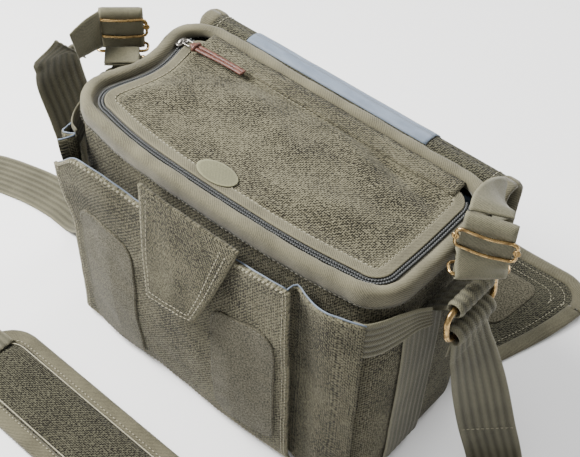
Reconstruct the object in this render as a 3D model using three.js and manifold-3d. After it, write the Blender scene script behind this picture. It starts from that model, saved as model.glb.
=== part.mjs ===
// A canvas camera shoulder bag, open on the table: zipped lid closed, cover flap thrown back,
// shoulder strap lying on the surface. Millimetres, +Z up, origin under the middle of the body.
import * as THREE from 'three';
import { mergeVertices } from 'three/addons/utils/BufferGeometryUtils.js';
import Module from 'manifold-3d';

const wasm = await Module();
wasm.setup();

// ---------------------------------------------------------------- driving dimensions
const GAP = 0.3;                 // air between touching pieces
const WIDTH = 336;               // body, left to right
const DEPTH = 154;               // body, front to back at the corners
const HEIGHT = 250;              // floor to the top of the rim binding
const FRONT_BOW = 10;            // how far the stuffed front wall bows out at its middle
const CORNER = 34;               // radius of the body's upright corners
const CANVAS = 2.4;
const FOAM = 6;
const LINER_FLOOR = 4;
const FLOOR_LEVEL = 12;          // top of the base pad, where the contents stand
const RIM_DROP = 18;             // height of the rim binding
const RIM_REACH = 2.2;           // how far the binding stands out from the wall
const RIM_INSET = 9;             // how far it reaches inwards over the edge
const ZIP_LEVEL = 240;
const ZIP_THICK = 3;
const ZIP_LINE = 15.15;          // inset of the line where the zip parts
const ZIP_TAPE = 5.85;
const LID_BACK = 62;             // y of the lid's fold line
const LID_THICK = 6;
const WEB = 50;                  // wide ribbed webbing
const TAPE = 38;                 // narrow smooth tape
const WEB_THICK = 2.4;
const TAPE_THICK = 1.6;

const POCKET_MIDDLE = -20;       // the front pocket has slumped a little to the left
const POCKET_WIDTH = 256;
const POCKET_TOP = 222;
const POCKET_FACE = -104;        // y of the pocket panel's outer face
const POCKET_THICK = 3;

const RING_LONG = 68;            // strap ring, outside
const RING_HIGH = 32;
const RING_BAR = 5;
const RING_DEEP = 3.6;
const RING_CORNER = 11;
const RING_MIDDLE_Y = -5;

const FLAP_WIDTH = 332;
const FLAP_THICK = 3;
const FLAP_AXIS_Y = 80.5;        // where the flap folds over the back of the rim
const FLAP_AXIS_Z = 252.5;
const CREST = 26.5;              // from that fold to the one above the back wall
const FLAP_TOP = 190;            // the stretch that covers the lid when the flap is shut
const FLAP_END = 148;            // the stretch that lies on the table
const FLAP_FLARE = 11;           // wider on each side at the table, and again at the end
const FLAP_CORNER = 38;
const FOLD_GAP = 2;              // from a fold's line to the panels beside it

const COLOURS = {
  canvas: 0x77735f, darkCanvas: 0x55534a, binding: 0x8b8a74, webbing: 0x7f7e69, tape: 0x8f8d79,
  foam: 0x6d7480, zip: 0x4d5152, brass: 0x9a7b45, steel: 0x9c9a96,
  leather: 0x4a2c22, loop: 0x6c6d5f, patch: 0x70704a,
};

// ---------------------------------------------------------------- helpers
const part = new THREE.Group();
const vec = (x, y, z) => new THREE.Vector3(x, y, z);

function add(name, geometry, colour, metalness = 0) {
  const roughness = metalness > 0 ? 0.35 : 0.9;
  const material = new THREE.MeshStandardMaterial({ color: COLOURS[colour], roughness, metalness });
  const mesh = new THREE.Mesh(geometry, material);
  mesh.name = name;
  part.add(mesh);
  return mesh;
}

function toSolid(geometry) {
  const bare = geometry.clone();
  bare.deleteAttribute('normal');
  bare.deleteAttribute('uv');
  const merged = mergeVertices(bare, 1e-4);
  const vertProperties = new Float32Array(merged.attributes.position.array);
  const triVerts = new Uint32Array(merged.index.array);
  return new wasm.Manifold(new wasm.Mesh({ numProp: 3, vertProperties, triVerts }));
}

function toGeometry(solid) {
  const mesh = solid.getMesh();
  const geometry = new THREE.BufferGeometry();
  geometry.setAttribute('position', new THREE.BufferAttribute(mesh.vertProperties, 3));
  geometry.setIndex(new THREE.BufferAttribute(mesh.triVerts, 1));
  return geometry;
}

const cut = (a, ...others) => toGeometry(others.reduce((s, o) => s.subtract(toSolid(o)), toSolid(a)));
const join = (a, ...others) => toGeometry(others.reduce((s, o) => s.add(toSolid(o)), toSolid(a)));

function box(x0, x1, y0, y1, z0, z1) {
  const geometry = new THREE.BoxGeometry(x1 - x0, y1 - y0, z1 - z0);
  return geometry.translate((x0 + x1) / 2, (y0 + y1) / 2, (z0 + z1) / 2);
}

const flat = (depth, curveSegments = 6) => ({ depth, bevelEnabled: false, curveSegments });

// A shape drawn in x and y, raised from z0 to z1.
const raise = (shape, z0, z1) => new THREE.ExtrudeGeometry(shape, flat(z1 - z0)).translate(0, 0, z0);

// A shape drawn in x and z, drawn out from y0 to y1.
function alongY(shape, y0, y1, segments) {
  const geometry = new THREE.ExtrudeGeometry(shape, flat(y1 - y0, segments));
  return geometry.rotateX(Math.PI / 2).translate(0, y1, 0);
}

// A shape drawn in y and z, drawn out from x0 to x1.
function alongX(shape, x0, x1, segments) {
  const geometry = new THREE.ExtrudeGeometry(shape, flat(x1 - x0, segments));
  return geometry.rotateX(Math.PI / 2).rotateZ(Math.PI / 2).translate(x0, 0, 0);
}

function polygon(points) {
  return new THREE.Shape(points.map(([a, b]) => new THREE.Vector2(a, b)));
}

function roundedRect(path, a0, a1, b0, b1, r) {
  path.moveTo(a0 + r, b0);
  path.lineTo(a1 - r, b0);
  path.absarc(a1 - r, b0 + r, r, -Math.PI / 2, 0);
  path.lineTo(a1, b1 - r);
  path.absarc(a1 - r, b1 - r, r, 0, Math.PI / 2);
  path.lineTo(a0 + r, b1);
  path.absarc(a0 + r, b1 - r, r, Math.PI / 2, Math.PI);
  path.lineTo(a0, b0 + r);
  path.absarc(a0 + r, b0 + r, r, Math.PI, 1.5 * Math.PI);
  return path;
}

// The body's plan outline, pulled in by inset: a rounded rectangle with a bowed front.
function bodyOutline(inset) {
  const x = WIDTH / 2 - inset;
  const y = DEPTH / 2 - inset;
  const r = CORNER - inset;
  const shape = new THREE.Shape();
  shape.moveTo(-x + r, -y);
  shape.quadraticCurveTo(0, -y - 2 * FRONT_BOW, x - r, -y);
  shape.absarc(x - r, -y + r, r, -Math.PI / 2, 0);
  shape.lineTo(x, y - r);
  shape.absarc(x - r, y - r, r, 0, Math.PI / 2);
  shape.lineTo(-x + r, y);
  shape.absarc(-x + r, y - r, r, Math.PI / 2, Math.PI);
  shape.lineTo(-x, -y + r);
  shape.absarc(-x + r, -y + r, r, Math.PI, 1.5 * Math.PI);
  return shape;
}

// A tub: the outline's wall of the given thickness with a floor of its own.
function tub(inset, thick, z0, floor, z1) {
  return cut(raise(bodyOutline(inset), z0, z1), raise(bodyOutline(inset + thick), z0 + floor, z1 + 1));
}

function band(outer, inner, z0, z1) {
  return cut(raise(bodyOutline(outer), z0, z1), raise(bodyOutline(inner), z0 - 1, z1 + 1));
}

// A flat strap through a list of [point, width direction] stations, as one closed solid.
function strap(stations, width, thickness, steps) {
  const centre = new THREE.CatmullRomCurve3(stations.map(([p]) => p), false, 'centripetal');
  const across = new THREE.CatmullRomCurve3(stations.map(([, w]) => w), false, 'centripetal');
  const corners = [];
  for (let i = 0; i <= steps; i += 1) {
    const t = i / steps;
    const point = centre.getPoint(t);
    const tangent = centre.getTangent(t);
    const side = across.getPoint(t);
    side.addScaledVector(tangent, -side.dot(tangent)).normalize();
    const normal = tangent.clone().cross(side);
    for (const [s, n] of [[-1, -1], [1, -1], [1, 1], [-1, 1]]) {
      const corner = point.clone().addScaledVector(side, s * width / 2);
      corners.push(corner.addScaledVector(normal, n * thickness / 2));
    }
  }
  const index = [0, 2, 1, 0, 3, 2];
  for (let i = 0; i < steps; i += 1) {
    for (let k = 0; k < 4; k += 1) {
      const a = 4 * i + k;
      const b = 4 * i + (k + 1) % 4;
      index.push(a, b, b + 4, a, b + 4, a + 4);
    }
  }
  const last = 4 * steps;
  index.push(last, last + 1, last + 2, last, last + 2, last + 3);
  const geometry = new THREE.BufferGeometry().setFromPoints(corners);
  geometry.setIndex(index);
  return geometry;
}

// ---------------------------------------------------------------- body of the bag
function makeBody() {
  const wallTop = HEIGHT - RIM_DROP - GAP;
  add('outer_shell', tub(0, CANVAS, 0, CANVAS, wallTop), 'canvas');
  const linerInset = CANVAS + GAP;
  add('foam_liner', tub(linerInset, FOAM, linerInset, LINER_FLOOR, wallTop), 'foam');
  const padInset = linerInset + FOAM + GAP;
  const padBase = linerInset + LINER_FLOOR + GAP;
  add('base_pad', raise(bodyOutline(padInset), padBase, FLOOR_LEVEL), 'foam');
  add('rim_binding', band(-RIM_REACH, RIM_INSET, HEIGHT - RIM_DROP, HEIGHT), 'binding');
}

function makeDividers() {
  const thick = 8;
  const high = 176;
  const reach = DEPTH / 2 - CANVAS - FOAM - 4;
  for (const [side, x] of [['left', -52], ['right', 58]]) {
    const wall = roundedRect(new THREE.Shape(), -reach, reach, FLOOR_LEVEL + 1, high, 12);
    add(`divider_${side}`, alongX(wall, x - thick / 2, x + thick / 2), 'foam');
  }
}

// ---------------------------------------------------------------- lid and zip
function makeLid() {
  const behind = box(-WIDTH, WIDTH, LID_BACK, DEPTH, 0, 2 * HEIGHT);
  const zipTop = ZIP_LEVEL + ZIP_THICK;
  const bodyTape = band(RIM_INSET + GAP, ZIP_LINE - GAP / 2, ZIP_LEVEL, zipTop);
  add('zip_tape_body', cut(bodyTape, behind), 'zip');
  const lidTape = band(ZIP_LINE + GAP / 2, ZIP_LINE + ZIP_TAPE, ZIP_LEVEL, zipTop);
  add('zip_tape_lid', cut(lidTape, behind), 'zip');
  const panelInset = ZIP_LINE + ZIP_TAPE + GAP;
  const panel = raise(bodyOutline(panelInset), ZIP_LEVEL - 1, ZIP_LEVEL - 1 + LID_THICK);
  add('lid_panel', cut(panel, behind), 'canvas');
  const hingeEdge = DEPTH / 2 - RIM_INSET - GAP;
  add('lid_hinge_tape', box(-122, 122, LID_BACK + GAP, hingeEdge, ZIP_LEVEL, zipTop), 'binding');
  const patch = new THREE.Shape().absellipse(-14, -60, 20, 11, 0, 2 * Math.PI);
  const patchBase = ZIP_LEVEL - 1 + LID_THICK + GAP;
  add('lid_oval_patch', raise(patch, patchBase, patchBase + 0.8), 'patch');
}

function makeZipPull() {
  const x = -WIDTH / 2 + ZIP_LINE;
  const y = 43;
  const base = ZIP_LEVEL + ZIP_THICK + GAP;
  add('zip_slider', box(x - 4, x + 4, y - 7, y + 7, base, base + 3.4), 'steel', 1);
  const pull = roundedRect(new THREE.Shape(), x + 5, x + 74, -4.5, 4.5, 4);
  add('zip_pull', raise(pull, base + 2, base + 4.6).translate(0, y, 0), 'leather');
}

// ---------------------------------------------------------------- front pocket
function makePocket() {
  const left = POCKET_MIDDLE - POCKET_WIDTH / 2;
  const right = POCKET_MIDDLE + POCKET_WIDTH / 2;
  const back = POCKET_FACE + POCKET_THICK;
  const heel = -DEPTH / 2 - FRONT_BOW - GAP - 1;
  const lipped = polygon([
    [POCKET_FACE, 0], [heel, 0], [heel, 2.4], [back, 2.4], [back, POCKET_TOP], [POCKET_FACE, POCKET_TOP],
  ]);
  add('pocket_panel', alongX(lipped, left, right), 'canvas');

  // Each gusset folds inwards once: an outer leaf from the corner seam and an inner leaf to the panel.
  const valley = -DEPTH / 2 - 10;
  for (const [side, sign, edge] of [['left', -1, left], ['right', 1, right]]) {
    const seam = sign * (WIDTH / 2 - 12);
    const fold = edge + sign * 4;
    const leaf = polygon([
      [seam, valley - 2.5], [fold, valley - 2.5], [edge - sign * 5, back + GAP],
      [edge - sign * 9, back + GAP], [fold - sign * 3, valley], [seam, valley],
    ]);
    add(`pocket_gusset_${side}`, raise(leaf, 3, POCKET_TOP + 4), 'canvas');
  }

  for (const [side, x0, x1] of [['left', -142, -78], ['right', 40, 104]]) {
    const patch = roundedRect(new THREE.Shape(), x0, x1, 22, 148, 14);
    add(`loop_patch_${side}`, alongY(patch, POCKET_FACE - GAP - 1.2, POCKET_FACE - GAP), 'loop');
  }
}

const TAB_TOP = { y: -101.2, z: 236 };
const TAB_LENGTH = 96;
const TAB_TILT = 14;

function makePocketTab() {
  const flatTab = polygon([[-55, 0], [51, 0], [24, -TAB_LENGTH], [-30, -TAB_LENGTH]]);
  const tab = alongY(flatTab, -3, 0);
  tab.rotateX(THREE.MathUtils.degToRad(-TAB_TILT));
  add('pocket_tab', tab.translate(0, TAB_TOP.y, TAB_TOP.z), 'canvas');
}

// ---------------------------------------------------------------- sides: webbing, rings, tabs
const RING_UPPER = { x: 197, z: 224 };   // the right ring's upper bar
const RING_LEAN = 4;                     // its lower bar is this much further out
const LEFT_RING_X = 182;                 // the left ring hangs straight down, nearer the wall
const EYE_HALF = 22;                     // half the width of the webbing eyes round the rings

function ringGeometry() {
  const half = RING_LONG / 2;
  const shape = roundedRect(new THREE.Shape(), -half, half, -RING_HIGH, 0, RING_CORNER);
  const inside = roundedRect(new THREE.Path(), -half + RING_BAR, half - RING_BAR,
    -RING_HIGH + RING_BAR, -RING_BAR, RING_CORNER - RING_BAR);
  shape.holes.push(inside);
  return alongX(shape, -RING_DEEP / 2, RING_DEEP / 2).translate(0, RING_MIDDLE_Y, RING_BAR / 2);
}

// A webbing loop around a bar at (x, z), with a neck that runs to (neckX, neckZ).
function barLoop(x, z, neckX, neckZ, neckThick, y0, y1, radius = 7.6, hole = 5.2) {
  const eye = new THREE.Shape().absarc(x, z, radius, 0, 2 * Math.PI);
  const direction = new THREE.Vector2(neckX - x, neckZ - z);
  const normal = new THREE.Vector2(-direction.y, direction.x).normalize().multiplyScalar(neckThick / 2);
  const neck = polygon([
    [x + normal.x, z + normal.y], [neckX + normal.x, neckZ + normal.y],
    [neckX - normal.x, neckZ - normal.y], [x - normal.x, z - normal.y],
  ]);
  const bore = new THREE.Shape().absarc(x, z, hole, 0, 2 * Math.PI);
  const solid = join(alongY(eye, y0, y1, 10), alongY(neck, y0, y1));
  return cut(solid, alongY(bore, y0 - 1, y1 + 1, 10));
}

function makeSides() {
  const wall = WIDTH / 2 + GAP;
  const webLow = -49;
  const eyeLow = RING_MIDDLE_Y - EYE_HALF;
  const eyeHigh = RING_MIDDLE_Y + EYE_HALF;
  for (const [side, sign] of [['left', -1], ['right', 1]]) {
    const inner = sign * wall;
    const outer = sign * (wall + WEB_THICK);
    const webbing = box(Math.min(inner, outer), Math.max(inner, outer), webLow, webLow + WEB, 2, 200);
    add(`side_webbing_${side}`, webbing, 'webbing');

    const barX = side === 'right' ? RING_UPPER.x : LEFT_RING_X;
    const barZ = RING_UPPER.z;
    const anchor = barLoop(sign * barX, barZ, sign * (wall + 2), barZ - 18, 3.6, eyeLow, eyeHigh);
    add(`ring_anchor_${side}`, anchor, 'webbing');

    const ring = ringGeometry();
    const lean = side === 'right' ? Math.atan2(RING_LEAN, RING_HIGH) : 0;
    ring.rotateY(-lean);
    add(`strap_ring_${side}`, ring.translate(sign * barX, 0, barZ), 'brass', 1);

    // The corner tab is sewn round the front corner and narrows towards the ring.
    const tab = [
      [vec(sign * 153, -81.5, 207), vec(0, 0, 1)], [vec(sign * 166, -70, 209), vec(0, 0, 1)],
      [vec(sign * 172.5, -56, 212), vec(0, 0, 1)], [vec(sign * 178, -46, 215), vec(0, 0, 1)],
    ];
    add(`corner_tab_${side}`, strap(tab, 38, WEB_THICK, 10), 'webbing');
  }
}

// ---------------------------------------------------------------- rim rings, tape loops, wire sliders
const ACROSS = vec(0.72, 0.69, 0).normalize();      // the way both loops are turned
const LOOPS = {
  right: { x: 197, y: 0, low: 240, high: 300, slider: 278, inward: 1 },
  left: { x: -196, y: 12, low: 234, high: 274, slider: 256, inward: -1 },
};
const WIRE = 2.6;                        // thickness of the ring's and slider's wire
const WIRE_HALF = TAPE / 2 + 4.5;        // half their length across the tape
const RIM_RING_DEEP = 13;
const RIM_RING_LIFT = 3.4;               // from the foot of the loop to the ring's middle

// Builds in a local frame (x across the tape, y through it, z up) and turns it into place.
function placeLoop(geometry, loop) {
  return geometry.rotateZ(Math.atan2(ACROSS.y, ACROSS.x)).translate(loop.x, loop.y, 0);
}

function tapeLoop(loop) {
  const shape = roundedRect(new THREE.Shape(), -4.6, 4.6, loop.low, loop.high, 4.5);
  const inside = roundedRect(new THREE.Path(), -3, 3, loop.low + TAPE_THICK, loop.high - TAPE_THICK, 2.9);
  shape.holes.push(inside);
  return placeLoop(alongX(shape, -TAPE / 2, TAPE / 2, 4), loop);
}

function wireFrame(halfLong, low, high, wire, y) {
  const shape = roundedRect(new THREE.Shape(), -halfLong, halfLong, low, high, 4);
  const inside = halfLong - wire;
  shape.holes.push(roundedRect(new THREE.Path(), -inside, inside, low + wire, high - wire, 2));
  return alongY(shape, y - wire / 2, y + wire / 2, 4);
}

// The slider's frame stands in front of the loop; its middle bar runs inside the loop.
function wireSlider(loop) {
  const frameY = -6.4;
  const barHalf = 1.2;
  const barLow = loop.slider + 2;
  const barHigh = barLow + 2 * barHalf;
  const frame = wireFrame(WIRE_HALF, loop.slider - 8, loop.slider + 12, WIRE, frameY);
  const bar = box(-WIRE_HALF, WIRE_HALF, -barHalf, barHalf, barLow, barHigh);
  const linkX = WIRE_HALF - WIRE / 2;
  const links = [-linkX, linkX].map((x) => box(x - WIRE / 2, x + WIRE / 2, frameY - barHalf, barHalf,
    barLow, barHigh));
  return placeLoop(join(frame, bar, ...links), loop);
}

// The rim ring lies flat: its outer bar runs inside the foot of the loop, its inner one towards the bag.
function rimRing(loop) {
  const foot = loop.low + RIM_RING_LIFT;
  const low = Math.min(-loop.inward * WIRE / 2, loop.inward * RIM_RING_DEEP);
  const high = Math.max(-loop.inward * WIRE / 2, loop.inward * RIM_RING_DEEP);
  const frame = roundedRect(new THREE.Shape(), -WIRE_HALF, WIRE_HALF, low, high, 4);
  const inside = WIRE_HALF - WIRE;
  frame.holes.push(roundedRect(new THREE.Path(), -inside, inside, low + WIRE, high - WIRE, 2));
  return placeLoop(raise(frame, foot - WIRE / 2, foot + WIRE / 2), loop);
}

// A short tab folded round the rim ring's inner bar and sewn against the rim binding.
function rimTab(loop) {
  const foot = loop.low + RIM_RING_LIFT;
  const bar = loop.inward * (RIM_RING_DEEP - WIRE / 2);
  const half = TAPE / 2 - 4;
  const tab = barLoop(bar, foot, bar + loop.inward * WEB, foot, 2.4, -half, half, 3.6, 2.3);
  const face = WIDTH / 2 + RIM_REACH + GAP;
  const bag = box(-face, face, -DEPTH, DEPTH, 0, 2 * HEIGHT);
  return cut(placeLoop(tab.rotateZ(Math.PI / 2), loop), bag);
}

function makeRimHardware() {
  for (const side of ['left', 'right']) {
    const loop = LOOPS[side];
    add(`tape_loop_${side}`, tapeLoop(loop), 'tape');
    add(`wire_slider_${side}`, wireSlider(loop), 'brass', 1);
    add(`rim_ring_${side}`, rimRing(loop), 'brass', 1);
    add(`rim_tab_${side}`, rimTab(loop), 'tape');
  }
  const tapeRight = [
    [vec(192, 6, 303), ACROSS], [vec(189, 14, 301), vec(0.75, 0.6, -0.2)],
    [vec(184.5, 32, 290), vec(0.8, 0, -0.55)], [vec(179.5, 50, 271), vec(0.5, -0.65, -0.55)],
    [vec(173.8, 61, 252), vec(0.25, -0.87, -0.42)], [vec(168.3, 64.8, 236), vec(0.67, -0.74, 0)],
  ];
  add('tape_right', strap(tapeRight, TAPE - 8, TAPE_THICK, 30), 'tape');
  const tapeLeft = [
    [vec(-203, -9, 258), vec(0.05, 0.2, -0.97)], [vec(-203, -22, 258), vec(0, 0.25, -0.97)],
    [vec(-203, -33, 256), vec(-0.05, 0.4, -0.9)],
  ];
  add('tape_left', strap(tapeLeft, TAPE - 2, TAPE_THICK, 8), 'tape');
}

// ---------------------------------------------------------------- shoulder strap
const PAD = { left: -190, right: 168, y: -204, width: 84, thick: 10 };

function makeShoulderStrap() {
  const low = WEB_THICK / 2 + 0.1;
  const wide = vec(0, 1, 0);
  const left = [
    [vec(-207.5, -41, 253), vec(-0.2, 0.6, -0.78)], [vec(-214, -44, 248), vec(-0.3, 0.8, -0.5)],
    [vec(-222, -42, 238), vec(-0.15, 0.97, -0.2)], [vec(-228, -39, 214), wide],
    [vec(-221, -36, 175), wide], [vec(-213, -34, 135), wide], [vec(-209, -31, 90), wide],
    [vec(-212, -28, 50), wide], [vec(-224, -26, 18), wide], [vec(-246, -24, 3.6), wide],
    [vec(-282, -23, low), wide], [vec(-330, -31, low), vec(-0.2, 1, 0)],
    [vec(-385, -52, low), vec(-0.5, 0.85, 0)], [vec(-424, -96, low), vec(-1, 0.1, 0)],
    [vec(-414, -150, low), vec(-0.85, -0.55, 0)], [vec(-366, -186, low), vec(-0.45, -0.9, 0)],
    [vec(-300, -202, low), vec(-0.1, -1, 0)], [vec(PAD.left - GAP - 4, PAD.y, low), vec(0, -1, 0)],
  ];
  add('strap_left', strap(left, WEB, WEB_THICK, 64), 'webbing');

  const right = [
    [vec(203, -4, 172), wide], [vec(209, -1, 150), vec(0.2, 0.98, 0)], [vec(218, 8, 105), vec(0.5, 0.86, 0)],
    [vec(228, 17, 55), vec(0.7, 0.72, 0)], [vec(238, 22, 20), vec(0.74, 0.67, 0)],
    [vec(252, 14, 4), vec(0.74, 0.67, 0)], [vec(278, -12, low), vec(0.8, 0.6, 0)],
    [vec(304, -62, low), vec(1, 0.25, 0)], [vec(306, -118, low), vec(0.97, -0.25, 0)],
    [vec(276, -172, low), vec(0.6, -0.8, 0)], [vec(224, -200, low), vec(0.2, -0.98, 0)],
    [vec(PAD.right + GAP + 4, PAD.y, low), vec(0, -1, 0)],
  ];
  add('strap_right', strap(right, WEB - 4, WEB_THICK, 44), 'webbing');

  const lowerBar = RING_UPPER.x + RING_LEAN - 0.5;
  const barZ = RING_UPPER.z - RING_HIGH + RING_BAR + 0.3;
  const eyeLow = RING_MIDDLE_Y - EYE_HALF;
  const eyeHigh = RING_MIDDLE_Y + EYE_HALF;
  const loop = barLoop(lowerBar, barZ, lowerBar + 1.4, 177, 5, eyeLow, eyeHigh, 9.4, 7);
  add('strap_loop_right', loop, 'webbing');

  const outline = roundedRect(new THREE.Shape(), PAD.left, PAD.right,
    PAD.y - PAD.width / 2, PAD.y + PAD.width / 2, 30);
  add('shoulder_pad', raise(outline, 0.2, PAD.thick), 'darkCanvas');
}

// ---------------------------------------------------------------- cover flap, thrown back
// The flap's last stretch: it widens on from half a width at its fold and has two rounded corners.
function flapEnd(half, fold, end) {
  const wide = half + FLAP_FLARE;
  const shape = new THREE.Shape();
  shape.moveTo(-half, fold);
  shape.lineTo(half, fold);
  shape.lineTo(wide, end - FLAP_CORNER);
  shape.quadraticCurveTo(wide, end, wide - FLAP_CORNER, end);
  shape.lineTo(-wide + FLAP_CORNER, end);
  shape.quadraticCurveTo(-wide, end, -wide, end - FLAP_CORNER);
  shape.closePath();
  return shape;
}

function makeFlap() {
  const half = FLAP_WIDTH / 2;
  const t = FLAP_THICK / 2;
  const y0 = FLAP_AXIS_Y;
  const y1 = y0 + CREST;
  const top = FLAP_AXIS_Z;
  add('flap_seam_strip', box(-half, half, DEPTH / 2 + 2.6, DEPTH / 2 + 4.6, 204, top - 2.2), 'darkCanvas');
  add('flap_crest', box(-half, half, y0 + FOLD_GAP, y1 - FOLD_GAP, top - t, top + t), 'darkCanvas');
  const topEnd = top - FLAP_TOP;
  add('flap_top', box(-half, half, y1 - t, y1 + t, topEnd + FOLD_GAP, top - 2.2), 'darkCanvas');
  const foot = FLAP_THICK / 2 + 0.2;
  const high = topEnd - FOLD_GAP;
  const low = foot + FOLD_GAP;
  const flared = half + FLAP_FLARE;
  const front = polygon([[-flared, low], [flared, low], [half, high], [-half, high]]);
  add('flap_front', alongY(front, y1 - t, y1 + t), 'darkCanvas');
  add('flap_end', raise(flapEnd(flared, y1 + FOLD_GAP, y1 + FLAP_END), foot - t, foot + t), 'darkCanvas');
  for (const [side, x] of [['left', -110], ['right', 110]]) {
    const patch = roundedRect(new THREE.Shape(), x - 32, x + 32, y1 + 40, y1 + 112, 14);
    add(`hook_patch_${side}`, raise(patch, foot + t + GAP, foot + t + GAP + 1.2), 'loop');
  }
}

makeBody();
makeDividers();
makeLid();
makeZipPull();
makePocket();
makePocketTab();
makeSides();
makeRimHardware();
makeShoulderStrap();
makeFlap();

export default part;
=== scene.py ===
"""Looks for a canvas camera shoulder bag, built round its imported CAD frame. Metres, +Z up."""
import math

import bmesh
import bpy
import numpy as np
from mathutils import Matrix, Vector, noise


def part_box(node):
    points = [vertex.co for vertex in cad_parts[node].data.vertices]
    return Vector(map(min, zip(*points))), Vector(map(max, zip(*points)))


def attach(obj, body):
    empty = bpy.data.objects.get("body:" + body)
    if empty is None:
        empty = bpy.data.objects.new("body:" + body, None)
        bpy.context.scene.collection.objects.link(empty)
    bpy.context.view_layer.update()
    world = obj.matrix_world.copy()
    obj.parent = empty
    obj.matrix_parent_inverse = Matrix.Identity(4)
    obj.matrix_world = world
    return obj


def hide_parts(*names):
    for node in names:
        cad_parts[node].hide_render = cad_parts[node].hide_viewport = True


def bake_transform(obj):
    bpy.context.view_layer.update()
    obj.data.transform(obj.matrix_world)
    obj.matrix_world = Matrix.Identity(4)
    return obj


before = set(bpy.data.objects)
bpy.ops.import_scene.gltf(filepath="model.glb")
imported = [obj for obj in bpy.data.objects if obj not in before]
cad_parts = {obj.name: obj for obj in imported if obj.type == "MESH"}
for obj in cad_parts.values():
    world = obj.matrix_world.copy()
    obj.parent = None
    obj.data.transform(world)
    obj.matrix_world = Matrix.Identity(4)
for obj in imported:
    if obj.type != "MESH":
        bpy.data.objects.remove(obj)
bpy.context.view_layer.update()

TAU = 2 * math.pi

# ------------------------------------------------------------------ sizes taken from the frame
SHELL_LOW, SHELL_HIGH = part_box("outer_shell")
RIM_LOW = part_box("rim_binding")[0]
LID_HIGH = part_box("lid_panel")[1]
HALF_X = SHELL_HIGH.x
HALF_Y = SHELL_HIGH.y
BOW = -SHELL_LOW.y - HALF_Y      # how far the front wall bows out
CORNER = 0.034                   # radius of the body's upright corners
WEB = 0.050                      # wide ribbed webbing
WEB_THICK = 0.0024
TAPE = 0.038                     # smooth tape
LINER_INSET = 0.0087             # from the outside of the body to the padding's inner face
LID_INSET = 0.0215               # from the outside of the body to the lid's canvas


def ease(low, high, x):
    """0 below low, 1 above high, smooth between."""
    t = min(1.0, max(0.0, (x - low) / (high - low)))
    return t * t * (3 - 2 * t)


def bump(t):
    """1 at 0, falling smoothly to 0 at -1 and 1."""
    return max(0.0, 1 - t * t) ** 2


def wave(x, y, z=0.0):
    """Smooth repeatable unevenness between about -1 and 1."""
    return noise.noise(Vector((x, y, z)))


# ------------------------------------------------------------------ node materials
class Nodes:
    """A short way to write a shader node tree."""

    def __init__(self, name):
        self.material = bpy.data.materials.new(name)
        self.material.use_nodes = True
        self.tree = self.material.node_tree
        self.shader = self.tree.nodes["Principled BSDF"]

    def plug(self, socket, value):
        if isinstance(value, bpy.types.NodeSocket):
            self.tree.links.new(value, socket)
        else:
            socket.default_value = value

    def math(self, operation, a, b=0.0, c=0.0):
        node = self.tree.nodes.new("ShaderNodeMath")
        node.operation = operation
        for socket, value in zip(node.inputs, (a, b, c)):
            self.plug(socket, value)
        return node.outputs[0]

    def uv(self):
        """Distances along the cloth, in metres, as two sockets and a vector."""
        node = self.tree.nodes.new("ShaderNodeUVMap")
        node.uv_map = "cloth"
        split = self.tree.nodes.new("ShaderNodeSeparateXYZ")
        self.plug(split.inputs[0], node.outputs[0])
        return split.outputs[0], split.outputs[1], node.outputs[0]

    def stretched(self, vector, x, y):
        node = self.tree.nodes.new("ShaderNodeMapping")
        self.plug(node.inputs["Vector"], vector)
        node.inputs["Scale"].default_value = (x, y, 1)
        return node.outputs[0]

    def place(self):
        node = self.tree.nodes.new("ShaderNodeTexCoord")
        return node.outputs["Object"]

    def noise(self, vector, scale, detail=3.0, roughness=0.55):
        node = self.tree.nodes.new("ShaderNodeTexNoise")
        self.plug(node.inputs["Vector"], vector)
        node.inputs["Scale"].default_value = scale
        node.inputs["Detail"].default_value = detail
        node.inputs["Roughness"].default_value = roughness
        return node.outputs["Fac"]

    def spread(self, value, low, high):
        """Stretches the range low to high to 0 to 1."""
        node = self.tree.nodes.new("ShaderNodeMapRange")
        node.interpolation_type = "SMOOTHSTEP"
        self.plug(node.inputs["Value"], value)
        node.inputs["From Min"].default_value = low
        node.inputs["From Max"].default_value = high
        return node.outputs[0]

    def mix(self, factor, a, b):
        node = self.tree.nodes.new("ShaderNodeMix")
        node.data_type = "RGBA"
        self.plug(node.inputs["Factor"], factor)
        self.plug(node.inputs["A"], a)
        self.plug(node.inputs["B"], b)
        return node.outputs["Result"]

    def wear(self):
        node = self.tree.nodes.new("ShaderNodeAttribute")
        node.attribute_name = "wear"
        return node.outputs["Fac"]

    def bumps(self, height, distance, strength=1.0):
        node = self.tree.nodes.new("ShaderNodeBump")
        node.inputs["Strength"].default_value = strength
        node.inputs["Distance"].default_value = distance
        self.plug(node.inputs["Height"], height)
        self.plug(self.shader.inputs["Normal"], node.outputs[0])

    def finish(self, colour, roughness, metallic=0.0, sheen=0.0, specular=0.3):
        self.plug(self.shader.inputs["Base Color"], colour)
        self.plug(self.shader.inputs["Roughness"], roughness)
        self.shader.inputs["Metallic"].default_value = metallic
        self.shader.inputs["Specular IOR Level"].default_value = specular
        self.shader.inputs["Sheen Weight"].default_value = sheen
        self.shader.inputs["Sheen Roughness"].default_value = 0.5
        return self.material


def rgb(r, g, b):
    return (r, g, b, 1.0)


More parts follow.
